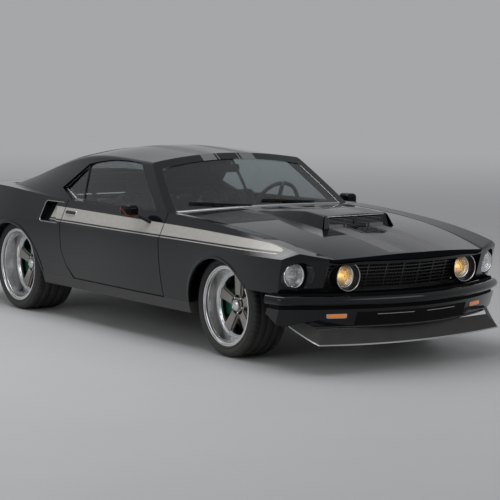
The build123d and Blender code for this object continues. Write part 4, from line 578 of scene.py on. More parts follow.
STRIP_SHAPE = [(-0.5, -0.5), (0.5, -0.5), (0.5, 0.2), (0.32, 0.5), (-0.32, 0.5), (-0.5, 0.2)]
# Columns: width and thickness of each moulding
SCREEN_TRIM = (0.014, 0.008)
REAR_TRIM = (0.016, 0.008)
DOOR_SEAL = (0.010, 0.008)
QUARTER_TRIM = (0.012, 0.008)
TRIM_STEP = 0.02
TRIM_LIFT = 0.004


def outline_of(points):
    """The outer edge of a sheet of points, in order, as the hull seen square to the sheet."""
    points = np.array(points)
    middle = points.mean(axis=0)
    _, _, axes = np.linalg.svd(points - middle)
    flat = (points - middle) @ axes[:2].T
    order = np.lexsort((flat[:, 1], flat[:, 0]))

    def chain(indices):
        kept = []
        for i in indices:
            while len(kept) > 1:
                a, b = flat[kept[-1]] - flat[kept[-2]], flat[i] - flat[kept[-2]]
                if a[0] * b[1] - a[1] * b[0] > 1e-9:
                    break
                kept.pop()
            kept.append(i)
        return kept[:-1]

    loop = chain(order) + chain(order[::-1])
    return points[loop]


def evened(loop, spacing):
    """A closed loop of points at even steps."""
    loop = np.vstack([loop, loop[:1]])
    lengths = np.concatenate([[0], np.cumsum(np.linalg.norm(np.diff(loop, axis=0), axis=1))])
    steps = np.linspace(0, lengths[-1], max(12, int(lengths[-1] / spacing)), endpoint=False)
    return np.stack([np.interp(steps, lengths, loop[:, k]) for k in range(3)], axis=1)


def strip(loop, wide, thick, normals, closed=True):
    """A flat moulding with rounded corners that follows points, wide across and thick along the normals."""
    count = len(loop)
    rings = []
    for i in range(count):
        if closed:
            before, after = loop[i - 1], loop[(i + 1) % count]
        else:
            before, after = loop[max(i - 1, 0)], loop[min(i + 1, count - 1)]
        ahead = Vector(after - before).normalized()
        up = Vector(normals[i]).normalized()
        aside = ahead.cross(up).normalized()
        rings.append([tuple(Vector(loop[i]) + aside * (a * wide) + up * (b * thick)) for a, b in STRIP_SHAPE])
    return turned(rings, closed)


def glass_trim(name, node, keep, wide, thick, material, body, slot):
    """A moulding round the outer edge of the part of a glass node that keep(x, y, z) picks."""
    points = [v.co[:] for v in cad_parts[node].data.vertices if keep(*v.co)]
    loop = evened(outline_of(points), TRIM_STEP)
    middle = loop.mean(axis=0)
    _, _, axes = np.linalg.svd(loop - middle)
    from_cabin = middle - np.array([middle[0] * 0.6, 0, 0.5])
    outward = axes[2] if np.dot(axes[2], from_cabin) > 0 else -axes[2]
    verts, faces = strip(loop + outward * TRIM_LIFT, wide, thick, [outward] * len(loop))
    return piece(name, verts, faces, [material], body, slot)


def whole(x, y, z):
    return True


def left_part(x, y, z):
    return y > 0


def right_part(x, y, z):
    return y < 0


glass_trim("windscreen_trim", "windscreen", whole, *SCREEN_TRIM, brushed, "body", "steel")
glass_trim("rear_window_trim", "rear_window", whole, *REAR_TRIM, satin_black, "body", "black_plastic")
for side_name, part_of in (("left", left_part), ("right", right_part)):
    glass_trim(f"{side_name}_door_glass_seal", f"{side_name}_door_glass", whole, *DOOR_SEAL, satin_black,
               f"{side_name}_door", "black_plastic")
    glass_trim(f"{side_name}_quarter_glass_trim", "quarter_windows", part_of, *QUARTER_TRIM, brushed,
               "body", "steel")


# Wheel arch lips: the panel's edge rolled outward round each wheel opening, painted with the body.
# Each follows its panel's skin, found by looking straight at that panel from beside the car.
def panel_tree(node):
    """A CAD panel's faces, ready to be looked at."""
    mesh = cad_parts[node].data
    return BVHTree.FromPolygons([v.co for v in mesh.vertices], [p.vertices[:] for p in mesh.polygons])


def seen_on(tree, start, direction):
    """Where a straight look from start first meets a panel, and that panel's normal there."""
    spot, normal, _, _ = tree.ray_cast(Vector(start), Vector(direction))
    return spot, normal


ARCHES = {"front_fender": (1.3715, 0.334), "quarter_panel": (-1.3715, 0.340)}
ARCH_DROP = 0.065
ARCH_GAP = 0.044
LIP_INSET = 0.010
LIP_SIZE = (0.022, 0.009)
BESIDE = 1.3
FLANK_FROM = 0.8
for side_name, side in SIDES:
    for panel, (axle_x, tyre_r) in ARCHES.items():
        skin = panel_tree(f"{side_name}_{panel}")
        centre_z, radius = tyre_r - ARCH_DROP, tyre_r + ARCH_GAP + LIP_INSET
        lip, normals = [], []
        for i in range(61):
            turn = radians(8 + 164 * i / 60)
            x, z = axle_x + radius * cos(turn), centre_z + radius * sin(turn)
            spot, normal = seen_on(skin, (x, side * BESIDE, z), (0, -side, 0))
            if spot is not None and abs(spot.y) > FLANK_FROM:
                lip.append(np.array(spot))
                normals.append((0, side, 0))
        verts, faces = strip(lip, *LIP_SIZE, normals, False)
        piece(f"{side_name}_{panel}_arch_lip", verts, faces, [plain_paint], "body", "paint")


# Door handles: cast beds with a dark pull paddle. Side scoops: openings behind the doors, each outlined
# on three sides by a bright strip pressed on to the quarter panel.
def rounded_slab(centre, size, axes, corner, rise):
    """A pillow-edged plate: size is (long, tall, thick), axes its face directions, rise its edge round."""
    long_way, tall_way = Vector(axes[0]).normalized(), Vector(axes[1]).normalized()
    out = long_way.cross(tall_way)
    half_long, half_tall = size[0] / 2, size[1] / 2
    rings = []
    for level, inset in ((0.0, 0.0), (0.55, 0.0), (0.82, 0.35), (1.0, 1.0)):
        shrink = inset * rise
        ring = []
        for quarter in range(4):
            cx = (half_long - corner) * (1 if quarter in (0, 3) else -1)
            cy = (half_tall - corner) * (1 if quarter in (0, 1) else -1)
            for k in range(6):
                turn = (quarter + k / 5) * pi / 2
                u, v = cx + (corner - shrink) * cos(turn), cy + (corner - shrink) * sin(turn)
                ring.append(tuple(Vector(centre) + long_way * u + tall_way * v + out * (size[2] * level)))
        rings.append(ring)
    verts, faces = turned(rings, False)
    count = len(rings[0])
    faces.append(tuple(range(3 * count, 4 * count)))
    return verts, faces


HANDLE = (-0.555, 0.792)
HANDLE_BED = (0.150, 0.036, 0.006)
HANDLE_PADDLE = (0.124, 0.024, 0.012)
# Columns: rear x, front x, low z, high z
SCOOP_OPENING = (-0.945, -0.690, 0.715, 0.850)
SCOOP_CORNER = 0.026
SCOOP_STRIP = (0.006, 0.005)
SCOOP_MARGIN = 0.006
for side_name, side in SIDES:
    door_skin = panel_tree(f"{side_name}_door")
    spot, normal = seen_on(door_skin, (HANDLE[0], side * BESIDE, HANDLE[1]), (0, -side, 0))
    upward = Vector((0, -normal.z * side, abs(normal.y)))
    handle_axes = ((side, 0, 0), upward * -1)
    bed = rounded_slab(spot - normal * 0.002, HANDLE_BED, handle_axes, 0.012, 0.003)
    paddle = rounded_slab(spot + normal * 0.002, HANDLE_PADDLE, handle_axes, 0.009, 0.004)
    verts, faces, kinds = joined(bed, paddle)
    piece(f"{side_name}_door_handle", verts, faces, [bright, satin_black],
          f"{side_name}_door", "steel", kinds)
    quarter_skin = panel_tree(f"{side_name}_quarter_panel")
    rear_x, front_x, low_z, high_z = SCOOP_OPENING
    path = [(front_x, high_z)]
    bend = [(SCOOP_CORNER * (1 - sin(t)), SCOOP_CORNER * (1 - cos(t))) for t in np.linspace(0, pi / 2, 8)]
    path += [(rear_x + across, high_z - down) for across, down in bend]
    path += [(rear_x + down, low_z + across) for across, down in bend]
    path += [(front_x, low_z)]
    frame_line, normals = [], []
    for x, z in path:
        grow_z = SCOOP_MARGIN if z > (low_z + high_z) / 2 else -SCOOP_MARGIN
        look_from = (x - SCOOP_MARGIN, side * BESIDE, z + grow_z)
        spot, normal = seen_on(quarter_skin, look_from, (0, -side, 0))
        if spot is not None and abs(spot.y) > FLANK_FROM:
            frame_line.append(np.array(spot))
            normals.append(normal)
    verts, faces = strip(frame_line, *SCOOP_STRIP, normals, False)
    piece(f"{side_name}_scoop_frame", verts, faces, [brushed], "body", "steel")


# Headlamps: spun steel bowls with bright rims, fluted glass lenses and a bulb, held in dark buckets.
# The inner pair burn amber and look out through short hoods in the grille.
def about_x(profile, centre, steps=64):
    """Rings about a line along X through a centre, from a profile of (dx, radius)."""
    cx, cy, cz = centre
    turns = [2 * pi * j / steps for j in range(steps)]
    return [[(cx + dx, cy + r * cos(a), cz + r * sin(a)) for a in turns] for dx, r in profile]


def lens_finish(name, colour, glow, strength, ribs):
    """Moulded clear or tinted glass with upright flutes, faintly lit from behind where it glows."""
    material = finish(name, colour, 0.06, shade=0.1, spread=0.04)
    tree = material.node_tree
    shader = tree.nodes["Principled BSDF"]
    shader.inputs["Transmission Weight"].default_value = 0.95
    shader.inputs["Emission Strength"].default_value = strength
    shader.inputs["Emission Color"].default_value = (*glow, 1)
    flutes = tree.nodes.new("ShaderNodeTexWave")
    flutes.bands_direction = "Y"
    flutes.inputs["Scale"].default_value = ribs
    tree.links.new(metres(tree), flutes.inputs["Vector"])
    bump = tree.nodes["Bump"]
    bump.inputs["Distance"].default_value = 0.0012
    tree.links.new(flutes.outputs["Fac"], bump.inputs["Height"])
    return material


clear_lens = lens_finish("clear_lens", (0.93, 0.95, 0.96), (1.0, 0.97, 0.92), 0.02, 45)
amber_lens = lens_finish("amber_lens", (1.0, 0.74, 0.32), (1.0, 0.55, 0.12), 0.04, 45)
reflector = finish("lamp_reflector", (0.8, 0.8, 0.82), 0.12, 1.0, shade=0.1, grain_scale=120,
                   grain_depth=0.0006)
bulb_glow = finish("bulb_glow", (1.0, 0.8, 0.45), 0.3)
bulb_shader = bulb_glow.node_tree.nodes["Principled BSDF"]
bulb_shader.inputs["Emission Color"].default_value = (1.0, 0.75, 0.35, 1)
bulb_shader.inputs["Emission Strength"].default_value = 2.2
# Columns: x, distance from the middle, z, radius of the bowl, radius of the lens
LAMPS = {"inner": (2.194, 0.473, 0.591, 0.0738, 0.066), "outer": (2.076, 0.772, 0.600, 0.0875, 0.070)}
# Turned profiles: distance ahead of the lens's edge, distance outside it
LAMP_RING = [(-0.012, -0.004), (0.001, -0.004), (0.005, -0.001), (0.0065, 0.003), (0.005, 0.0065),
             (0.001, 0.008), (-0.012, 0.008)]
LAMP_HOOD = [(-0.004, 0.006), (0.030, 0.014), (0.047, 0.021), (0.047, 0.024), (0.028, 0.018), (-0.004, 0.009)]
HOOD_RIM = [(0.046, 0.020), (0.049, 0.0205), (0.050, 0.0225), (0.049, 0.0245), (0.046, 0.025)]
BULB_SHAPE = [(-0.062, 0.010), (-0.040, 0.010), (-0.030, 0.009), (-0.025, 0.006), (-0.023, 0.001)]
DOME_RISE = 0.013
LENS_THICK = 0.0035
lamp_meshes, lamp_kinds = [], []
for pair, (lamp_x, lamp_y, lamp_z, bowl_r, lens_r) in LAMPS.items():
    lens_kind = 3 if pair == "inner" else 2
    for side in (1, -1):
        centre = (lamp_x, side * lamp_y, lamp_z)
        dome = [(DOME_RISE * (1 - (k / 12) ** 2), lens_r * k / 12) for k in range(1, 13)]
        inside = [(dx - LENS_THICK, r) for dx, r in reversed(dome)]
        lens = turned(about_x(dome + inside, centre), False)
        ring = turned(about_x([(dx, lens_r + dr) for dx, dr in LAMP_RING], centre), True)
        bucket_shape = [(-0.002, lens_r + 0.007), (-0.004, bowl_r), (-0.075, bowl_r), (-0.078, 0.02)]
        bucket = turned(about_x(bucket_shape, centre), False)
        bowl_shape = [(-0.006 - 0.056 * (1 - (r / lens_r) ** 2), r) for r in np.linspace(lens_r, 0.011, 12)]
        bowl = turned(about_x(bowl_shape, centre), False)
        bulb = turned(about_x(BULB_SHAPE, centre, 16), False)
        lamp_meshes += [lens, ring, bucket, bowl, bulb]
        lamp_kinds += [lens_kind, 1, 0, 4, 5 if pair == "inner" else 4]
        if pair == "inner":
            for shape in (LAMP_HOOD, HOOD_RIM):
                lamp_meshes.append(turned(about_x([(dx, lens_r + dr) for dx, dr in shape], centre), True))
            lamp_kinds += [0, 1]
verts, faces, kinds = joined(*lamp_meshes)
lamp_finishes = [satin_black, bright, clear_lens, amber_lens, reflector, bulb_glow]
face_kinds = [lamp_kinds[kind] for kind in kinds]
headlamps = piece("headlamp_glass", verts, faces, lamp_finishes, "body", "lamp", face_kinds)
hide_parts("headlamps")

# Tail lamps: six upright lenses moulded in ribbed red plastic, let into the tail panel.
# Turn lamps: slim amber mouldings in brushed bezels, let into the front valance.
turn_lens = lens_finish("turn_lens", (0.9, 0.28, 0.02), (1.0, 0.3, 0.03), 0.25, 90)
tail_lens = lens_finish("tail_lens", (0.5, 0.012, 0.015), (0.5, 0.01, 0.01), 0.05, 110)
dress(tail_lens, "tail_lamps")
AHEAD = 3.0
TURN_PLACE = (0.56, 0.352)
TURN_BEZEL = (0.134, 0.034, 0.008)
TURN_LENS = (0.120, 0.021, 0.009)
valance_skin = panel_tree("front_valance")
for side_name, side in SIDES:
    spot, normal = seen_on(valance_skin, (AHEAD, side * TURN_PLACE[0], TURN_PLACE[1]), (-1, 0, 0))
    across = Vector((0, 0, 1)).cross(normal).normalized()
    lamp_axes = (across, normal.cross(across))
    bezel = rounded_slab(spot - normal * 0.004, TURN_BEZEL, lamp_axes, 0.011, 0.003)
    lens = rounded_slab(spot, TURN_LENS, lamp_axes, 0.009, 0.004)
    verts, faces, kinds = joined(bezel, lens)
    piece(f"{side_name}_turn_lamp", verts, faces, [brushed, turn_lens], "body", "lamp", kinds)

# Grille: a die-cast black grid set behind the nose's opening, with a gap for each inner lamp.
# Fine upright fins of the same black stand behind it, following the nose's curve.
grille_black = finish("grille_black", (0.06, 0.06, 0.062), 0.3, 0.6, shade=0.4)
dress(grille_black, "grille")
NOSE_TIP = 2.395
# Three points of the nose's plan arc: distance behind its tip, y
NOSE_ARC = [(0.0, 0.0), (0.090, 0.460), (0.310, 0.870)]


def nose_back(y):
    """How far the nose's plan curve lies behind its tip, at y."""
    (ax, ay), (bx, by), (cx, cy) = NOSE_ARC
    twice = 2 * (ax * (by - cy) + bx * (cy - ay) + cx * (ay - by))
    squares = [p * p + q * q for p, q in NOSE_ARC]
    ux = (squares[0] * (by - cy) + squares[1] * (cy - ay) + squares[2] * (ay - by)) / twice
    uy = (squares[0] * (cx - bx) + squares[1] * (ax - cx) + squares[2] * (bx - ax)) / twice
    return ux - sqrt(ux * ux + uy * uy - (abs(y) - uy) ** 2)


def bar(start, end, wide, thick, up):
    """A flat bar from start to end with eased edges."""
    loop = [np.array(start), np.array(end)]
    verts, faces = strip(loop, wide, thick, [up, up], False)
    return verts, faces + [tuple(range(5, -1, -1)), tuple(range(6, 12))]


FIN_STEP = 0.021
FINS_EACH_SIDE = 28
LAMP_GAP = (0.385, 0.562)
FIN_ENDS = (0.506, 0.668)
FIN_SIZE = (0.003, 0.010)
FIN_BACK = 0.110
NOSE_TOP = 0.697
NOSE_LEAN, NOSE_TALL = 70, 211
fins = []
for i in range(-FINS_EACH_SIDE, FINS_EACH_SIDE + 1):
    fin_y = i * FIN_STEP
    if LAMP_GAP[0] < abs(fin_y) < LAMP_GAP[1]:
        continue
    top_x = NOSE_TIP - nose_back(fin_y) - FIN_BACK
    foot, head = [(top_x - (NOSE_TOP - z) * NOSE_LEAN / NOSE_TALL, fin_y, z) for z in FIN_ENDS]
    fins.append(bar(foot, head, *FIN_SIZE, (1, 0, 0)))
verts, faces, _ = joined(*fins)
piece("grille_fins", verts, faces, [satin_black], "body", "black_plastic")

# Hood scoop: a pressed shell riding on the hood, painted and striped with it.
# Its twin mouths are lined in dead black, painted shade for their depth, each with thin bright-edged slats
# under one bright bar on the top lip, a painted highlight.
MOUTH_Y, MOUTH_HALF = 0.118, 0.102
SLATS = 5
SLAT_LOW, SLAT_STEP = 0.8625, 0.0088
SLAT_X, SLAT_SIZE = 1.680, (0.026, 0.0028)
EDGE_X, EDGE_DROP, EDGE_SIZE = 1.6945, 0.0035, (0.0022, 0.003)
LINER_X, LINER_Z, LINER_SIZE = 1.650, 0.880, (0.204, 0.049, 0.002)
BROW_X, BROW_HALF, BROW_Z, BROW_SIZE = 1.694, 0.235, 0.9085, (0.004, 0.004)
slats, edges, shade_liners = [], [], []
for side in (1, -1):
    near, far = side * MOUTH_Y - MOUTH_HALF, side * MOUTH_Y + MOUTH_HALF
    for level in range(SLATS):
        z = SLAT_LOW + SLAT_STEP * level
        edge_z = z - EDGE_DROP
        slats.append(bar((SLAT_X, near, z), (SLAT_X, far, z), *SLAT_SIZE, (0.25, 0, 1)))
        edges.append(bar((EDGE_X, near, edge_z), (EDGE_X, far, edge_z), *EDGE_SIZE, (1, 0, 0)))
    # Each liner is a dead black sheet: painted shade for the depth of its mouth.
    liner_middle = (LINER_X, side * MOUTH_Y, LINER_Z)
    shade_liners.append(rounded_slab(liner_middle, LINER_SIZE, ((0, 1, 0), (0, 0, 1)), 0.004, 0.001))
# The bar along the top lip is bright metal: a painted highlight.
lip_highlight = bar((BROW_X, -BROW_HALF, BROW_Z), (BROW_X, BROW_HALF, BROW_Z), *BROW_SIZE, (1, 0, 0.2))
verts, faces, kinds = joined(*slats, *edges, lip_highlight, *shade_liners)
looks = [0] * len(slats) + [1] * (len(edges) + 1) + [0] * len(shade_liners)
face_kinds = [looks[kind] for kind in kinds]
piece("scoop_slats_shade_and_highlight", verts, faces, [painted_shade, brushed], "hood", "black_plastic", face_kinds)
hood_skin = panel_tree("hood")
SHELL_REAR, SHELL_FRONT = 0.90, 1.693
# Half widths: at the rear, and what each gains by the front
SHELL_FOOT, SHELL_HEAD = (0.255, 0.040), (0.225, 0.030)
SHELL_LIFT, SHELL_CROWN, SHELL_LEAN = 0.002, 0.018, 0.035
OVERHEAD = 1.2
shell_rings = []
for share in np.linspace(0, 1, 30):
    x = SHELL_REAR + (SHELL_FRONT - SHELL_REAR) * share
    foot, head = SHELL_FOOT[0] + SHELL_FOOT[1] * share, SHELL_HEAD[0] + SHELL_HEAD[1] * share
    low_z = seen_on(hood_skin, (x, foot + 0.012, OVERHEAD), (0, 0, -1))[0].z
    hood_z = seen_on(hood_skin, (x, 0, OVERHEAD), (0, 0, -1))[0].z
    top_z = hood_z + SHELL_LIFT + SHELL_CROWN * sin(pi * share ** 0.7)
    lean = SHELL_LEAN * max(0.0, share - 0.9) / 0.1
    # Columns: y, z, share of the forward lean
    half_ring = [(foot, low_z - 0.006, 1.0), (head + 0.008, top_z - 0.012, 0.2),
                 (head + 0.002, top_z - 0.004, 0.05), (head - 0.010, top_z - 0.0005, 0.0),
                 (head * 0.5, top_z + 0.0015, 0.0)]
    ring = half_ring + [(0.0, top_z + 0.002, 0.0)] + [(-y, z, part) for y, z, part in reversed(half_ring)]
    shell_rings.append([(x + lean * part, y, z) for y, z, part in ring])
verts, faces = turned(shell_rings, False)
size = len(shell_rings[0])
faces = [face for number, face in enumerate(faces) if number % size != size - 1]
piece("scoop_shell", verts, faces, [over_paint], "hood", "paint")


# Front bumper: a slim bar rolled from sheet, painted with the body and bent round the nose.
# A dead black backing band, painted shade, closes the gap between the bar and the panel behind it.
NOSE_HALF = 0.87


def nose_path(tip, wrap_x, wrap_y):
    """Points round the nose in plan, from one wheel arch to the other."""
    front = [(tip - nose_back(y), y) for y in np.linspace(-NOSE_HALF, NOSE_HALF, 73)]
    end_x = front[-1][0]
    shares = np.linspace(0.12, 1, 8)
    wrap = [(end_x + (wrap_x - end_x) * t, NOSE_HALF + (wrap_y - NOSE_HALF) * t) for t in shares]
    return [(x, -y) for x, y in reversed(wrap)] + front + wrap


def rolled(path, profile):
    """A bar of closed section that follows a plan path; profile is (outward, z)."""
    rings = []
    for i, (x, y) in enumerate(path):
        (ax, ay), (bx, by) = path[max(i - 1, 0)], path[min(i + 1, len(path) - 1)]
        length = sqrt((bx - ax) ** 2 + (by - ay) ** 2)
        out = ((by - ay) / length, -(bx - ax) / length)
        rings.append([(x + o * out[0], y + o * out[1], z) for o, z in profile])
    verts, faces = turned(rings, False)
    size = len(profile)
    return verts, faces + [tuple(range(size - 1, -1, -1)), tuple(range(len(verts) - size, len(verts)))]


BAR_SECTION = [
    (-0.021, 0.424), (-0.021, 0.470), (-0.015, 0.4775), (-0.006, 0.4805), (0.004, 0.4795), (0.012, 0.4745),
    (0.018, 0.466), (0.0212, 0.455), (0.0215, 0.444), (0.0185, 0.433), (0.012, 0.4245), (0.003, 0.420),
    (-0.010, 0.419),
]
BACKING_SECTION = [(-0.004, 0.390), (-0.004, 0.492), (0.0, 0.492), (0.0, 0.390)]
# Columns: x of the tip, x and y of the ends beside the wheel arches
BAR_PLAN = (2.392, 1.9465, 0.888)
BACKING_PLAN = (2.362, 1.9485, 0.858)
front_roll = rolled(nose_path(*BAR_PLAN), BAR_SECTION[::-1])
# The backing band's dead black is painted shade.
shade_backing_roll = rolled(nose_path(*BACKING_PLAN), BACKING_SECTION[::-1])
verts, faces, kinds = joined(front_roll, shade_backing_roll)
front_bar = piece("front_bumper_bar", verts, faces, [plain_paint, painted_shade], "body", "paint", kinds)
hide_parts("front_bumper")


# Valance fittings: a dead black intake panel pressed into the valance's middle, its black painted shade for
# the recess,
# with two bright slot edges across it and a satin strip where the chin meets the valance.
def on_valance(y, z, lift):
    """A place on the valance seen from ahead, lifted off its skin, and the skin's normal there."""
    spot, normal = seen_on(valance_skin, (AHEAD, y, z), (-1, 0, 0))
    return np.array(spot + normal * lift), normal


# The intake is a sheet just off the skin, dead black: painted shade for a recess.
# Columns: half width, low z, high z
INTAKE = (0.44, 0.292, 0.374)
INTAKE_LIFT = 0.0025
intake_ys, intake_zs = np.linspace(-INTAKE[0], INTAKE[0], 61), np.linspace(*INTAKE[1:], 7)
intake_grid = [[tuple(on_valance(y, z, INTAKE_LIFT)[0]) for y in intake_ys] for z in intake_zs]
columns = len(intake_grid[0])
intake_faces = []
for i in range(len(intake_grid) - 1):
    for j in range(columns - 1):
        start = i * columns + j
        intake_faces.append((start, start + 1, start + columns + 1, start + columns))
intake_points = [point for row in intake_grid for point in row]
piece("valance_intake_shade", intake_points, intake_faces, [painted_shade], "body", "black_plastic")
# Columns: one end's y, the other's, z; the last is the satin strip
SLOT_LINES = ((-0.31, -0.05, 0.362), (0.05, 0.31, 0.362), (-0.74, 0.74, 0.283))
SLOT_LIFT = 0.005
SLOT_SIZE = (0.006, 0.006)
slots = []
for low_y, high_y, z in SLOT_LINES:
    line = [on_valance(y, z, SLOT_LIFT) for y in np.linspace(low_y, high_y, 41)]
    slots.append(strip([spot for spot, _ in line], *SLOT_SIZE, [normal for _, normal in line], False))
verts, faces, kinds = joined(*slots)
face_kinds = [int(kind == 2) for kind in kinds]
piece("valance_slots", verts, faces, [brushed, satin_trim], "body", "steel", face_kinds)

# Chin: a blade folded from satin black sheet and hung under the valance, with a paler lip of bright metal, a
# painted highlight along its lower edge.
# It sweeps back and up at both ends to meet the front of the wheel arches.
CHIN_HALF = 0.73
CHIN_WALL = 0.006
HIGHLIGHT_LIP_SHARE = 0.08
blade = []
for y in np.linspace(-CHIN_HALF, CHIN_HALF, 49):
    share = y / CHIN_HALF
    foot = (2.345 - 0.055 * share ** 2, y, 0.166 + 0.019 * share ** 2)
    head = (2.287 - 0.05 * share ** 2, 0.92 * y, 0.2715)
    blade.append((foot, head))
for t in np.linspace(0.1, 1, 12):
    foot = (2.29 - 0.315 * t, CHIN_HALF + 0.122 * t, 0.185 + 0.165 * t ** 1.2)
    head = (2.237 - 0.267 * t, 0.6716 + 0.166 * t, 0.2715 + 0.105 * t)
    blade.append((foot, head))
    blade.insert(0, ((foot[0], -foot[1], foot[2]), (head[0], -head[1], head[2])))
blade_rings = []
inner = Vector((-CHIN_WALL, 0, 0))
for foot, head in blade:
    foot, head = Vector(foot), Vector(head)
    fold = foot + (head - foot) * HIGHLIGHT_LIP_SHARE
    blade_rings.append([tuple(point) for point in (foot, fold, head, head + inner, foot + inner)])
verts, faces = turned(blade_rings, False)
ring_size = len(blade_rings[0])
# The lip faces along the foot take bright metal: a painted highlight on the blade's lower edge.
painted_highlight_faces = [int(number % ring_size in (0, ring_size - 1)) for number in range(len(faces))]
chin_black = finish("chin_black", (0.011, 0.011, 0.0115), 0.46, shade=0.3, dusting=0.2, grain_scale=1500)
chin = piece("chin_blade", verts, faces, [chin_black, brushed], "body", "satin_trim", painted_highlight_faces)
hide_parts("chin_spoiler")

# Rear bumper: the same rolled bar, a little deeper and painted with the body.
# It wraps round the tail's corners and is carried on two flat irons.
IRON_Y, IRON_Z = 0.48, 0.48
IRON_SIZE = (0.06, 0.036)
DEEPER = 1.25
rear_half = [(-2.392 + 0.046 * (y / 0.898) ** 2, y) for y in np.linspace(0, 0.855, 30)]
rear_half += [(-2.308 - 0.042 * cos(t), 0.858 + 0.0425 * sin(t)) for t in np.linspace(0.15, pi / 2, 10)]
rear_half += [(x, 0.9005 + (x + 2.308) * 0.0595) for x in np.linspace(-2.28, -2.114, 6)]
rear_path = list(reversed(rear_half)) + [(x, -y) for x, y in rear_half[1:]]
deep_section = [(out, IRON_Z + (z - 0.45) * DEEPER) for out, z in BAR_SECTION]
rear_bar_mesh = rolled(rear_path, deep_section)
irons = [bar((-2.385, y, IRON_Z), (-2.296, y, IRON_Z), *IRON_SIZE, (0, 0, 1)) for y in (IRON_Y, -IRON_Y)]
verts, faces, _ = joined(rear_bar_mesh, *irons)
rear_bar = piece("rear_bumper_bar", verts, faces, [plain_paint], "body", "paint")
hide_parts("rear_bumper")

# Tailpipe tips: short sleeves of brushed steel pushed over the ends of the two pipes.
# Each has a rolled lip and a dead black bore, partly soot and partly painted shade.
PIPE_SPOT = (0.24, 0.21)
# Turned profiles: distance ahead of the pipe's end, radius
TIP_PROFILE = [(0.060, 0.0285), (0.058, 0.0310), (-0.028, 0.0325), (-0.032, 0.0310), (-0.030, 0.0285)]
BORE_PROFILE = [(-0.029, 0.0284), (-0.003, 0.0275), (-0.002, 0.0005)]
pipe_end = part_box("exhaust")[0][0]
for side_name, side in SIDES:
    spot = (pipe_end, side * PIPE_SPOT[0], PIPE_SPOT[1])
    sleeve = turned(about_x(TIP_PROFILE, spot, 40), False)
    # The bore's dead black is partly soot and partly painted shade.
    soot_and_shade_bore = turned(about_x(BORE_PROFILE, spot, 40), False)
    verts, faces, kinds = joined(sleeve, soot_and_shade_bore)
    piece(f"{side_name}_tailpipe_tip", verts, faces, [brushed, painted_shade], "body", "steel", kinds)


# Door mirrors: moulded pods on slim stalks screwed to the doors, black with one fine orange line.
# A silvered glass with rounded corners is let into the back of each.
def marked(material, mask, colour):
    """Puts one colour over a finish where a mask is 1."""
    tree = material.node_tree
    base = tree.nodes["Principled BSDF"].inputs["Base Color"]
    mix = tree.nodes.new("ShaderNodeMix")
    mix.data_type = "RGBA"
    tree.links.new(mask, mix.inputs["Factor"])
    tree.links.new(base.links[0].from_socket, mix.inputs["A"])
    mix.inputs["B"].default_value = (*colour, 1)
    tree.links.new(mix.outputs["Result"], base)


LINE_ORANGE = (0.6, 0.06, 0.012)
LINE_SLANT = -0.55
LINE_BAND = (1.0985, 1.1025, 0.0005)
POD_FROM = (0.899, 0.901)
MIRROR_GLASS = (0.072, 0.060, 0.003)
mirror_black = body_paint("mirror_black", "none")
mirror_tree = mirror_black.node_tree
mirror_tree.nodes["Principled BSDF"].inputs["Coat Weight"].default_value = 0.35
mirror_axes = mirror_tree.nodes.new("ShaderNodeSeparateXYZ")
mirror_tree.links.new(metres(mirror_tree), mirror_axes.inputs[0])
sloped = sum_node(mirror_tree, "MULTIPLY", mirror_axes.outputs["X"], LINE_SLANT)
slant = sum_node(mirror_tree, "SUBTRACT", mirror_axes.outputs["Z"], sloped)
off_centre = sum_node(mirror_tree, "ABSOLUTE", mirror_axes.outputs["Y"], 0.0)
outboard = spread_between(mirror_tree, off_centre, *POD_FROM)
line_mask = sum_node(mirror_tree, "MULTIPLY", in_band(mirror_tree, slant, *LINE_BAND), outboard)
marked(mirror_black, line_mask, LINE_ORANGE)
dress(mirror_black, "left_mirror", "right_mirror")
silvered = finish("silvered_glass", (0.85, 0.87, 0.88), 0.03, 1.0, shade=0.04, spread=0.02)
for side_name, side in SIDES:
    low, high = (Vector(corner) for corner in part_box(f"{side_name}_mirror"))
    middle_y = side * (max(abs(low.y), abs(high.y)) - 0.0475)
    glass_middle = (low.x + 0.0015, middle_y, high.z - 0.0425)
    back_glass = rounded_slab(glass_middle, MIRROR_GLASS, ((0, 1, 0), (0, 0, -1)), 0.02, 0.002)
    piece(f"{side_name}_mirror_glass", *back_glass, [silvered], f"{side_name}_door", "glass")

# Wipers: pressed steel arms in satin black that carry rubber blades.
# Both lie at rest along the foot of the windscreen.
# Columns: y of the pivot, y of the tip
WIPERS = ((0.46, 0.02), (-0.10, -0.56))
WIPER_FOOT, WIPER_RISE = 0.902, 0.026
BLADE_LIFT, BLADE_SIZE = 0.010, (0.010, 0.014)
ARM_LIFT, ARM_SIZE = 0.026, (0.012, 0.005)
WIPER_STEPS, ARM_STEPS = 12, 8
screen = panel_tree("windscreen")
for number, (pivot_y, tip_y) in enumerate(WIPERS):
    path = []
    for share in np.linspace(0, 1, WIPER_STEPS):
        y, z = pivot_y + (tip_y - pivot_y) * share, WIPER_FOOT + WIPER_RISE * share
        spot, normal = seen_on(screen, (AHEAD, y, z), (-1, 0, 0))
        path.append((spot, normal))
    blade_line = [np.array(spot + normal * BLADE_LIFT) for spot, normal in path]
    blade = strip(blade_line, *BLADE_SIZE, [normal for _, normal in path], False)
    arm_line = []
    for i, (spot, normal) in enumerate(path[:ARM_STEPS]):
        sag = Vector((0, 0, 0.012 * (WIPER_STEPS - 1 - i) / (WIPER_STEPS - 1)))
        arm_line.append(np.array(spot + normal * (ARM_LIFT - 0.001 * i) - sag))
    arm = strip(arm_line, *ARM_SIZE, [normal for _, normal in path[:ARM_STEPS]], False)
    verts, faces, _ = joined(blade, arm)
    piece(f"wiper_{number + 1}", verts, faces, [satin_black], "body", "black_plastic")


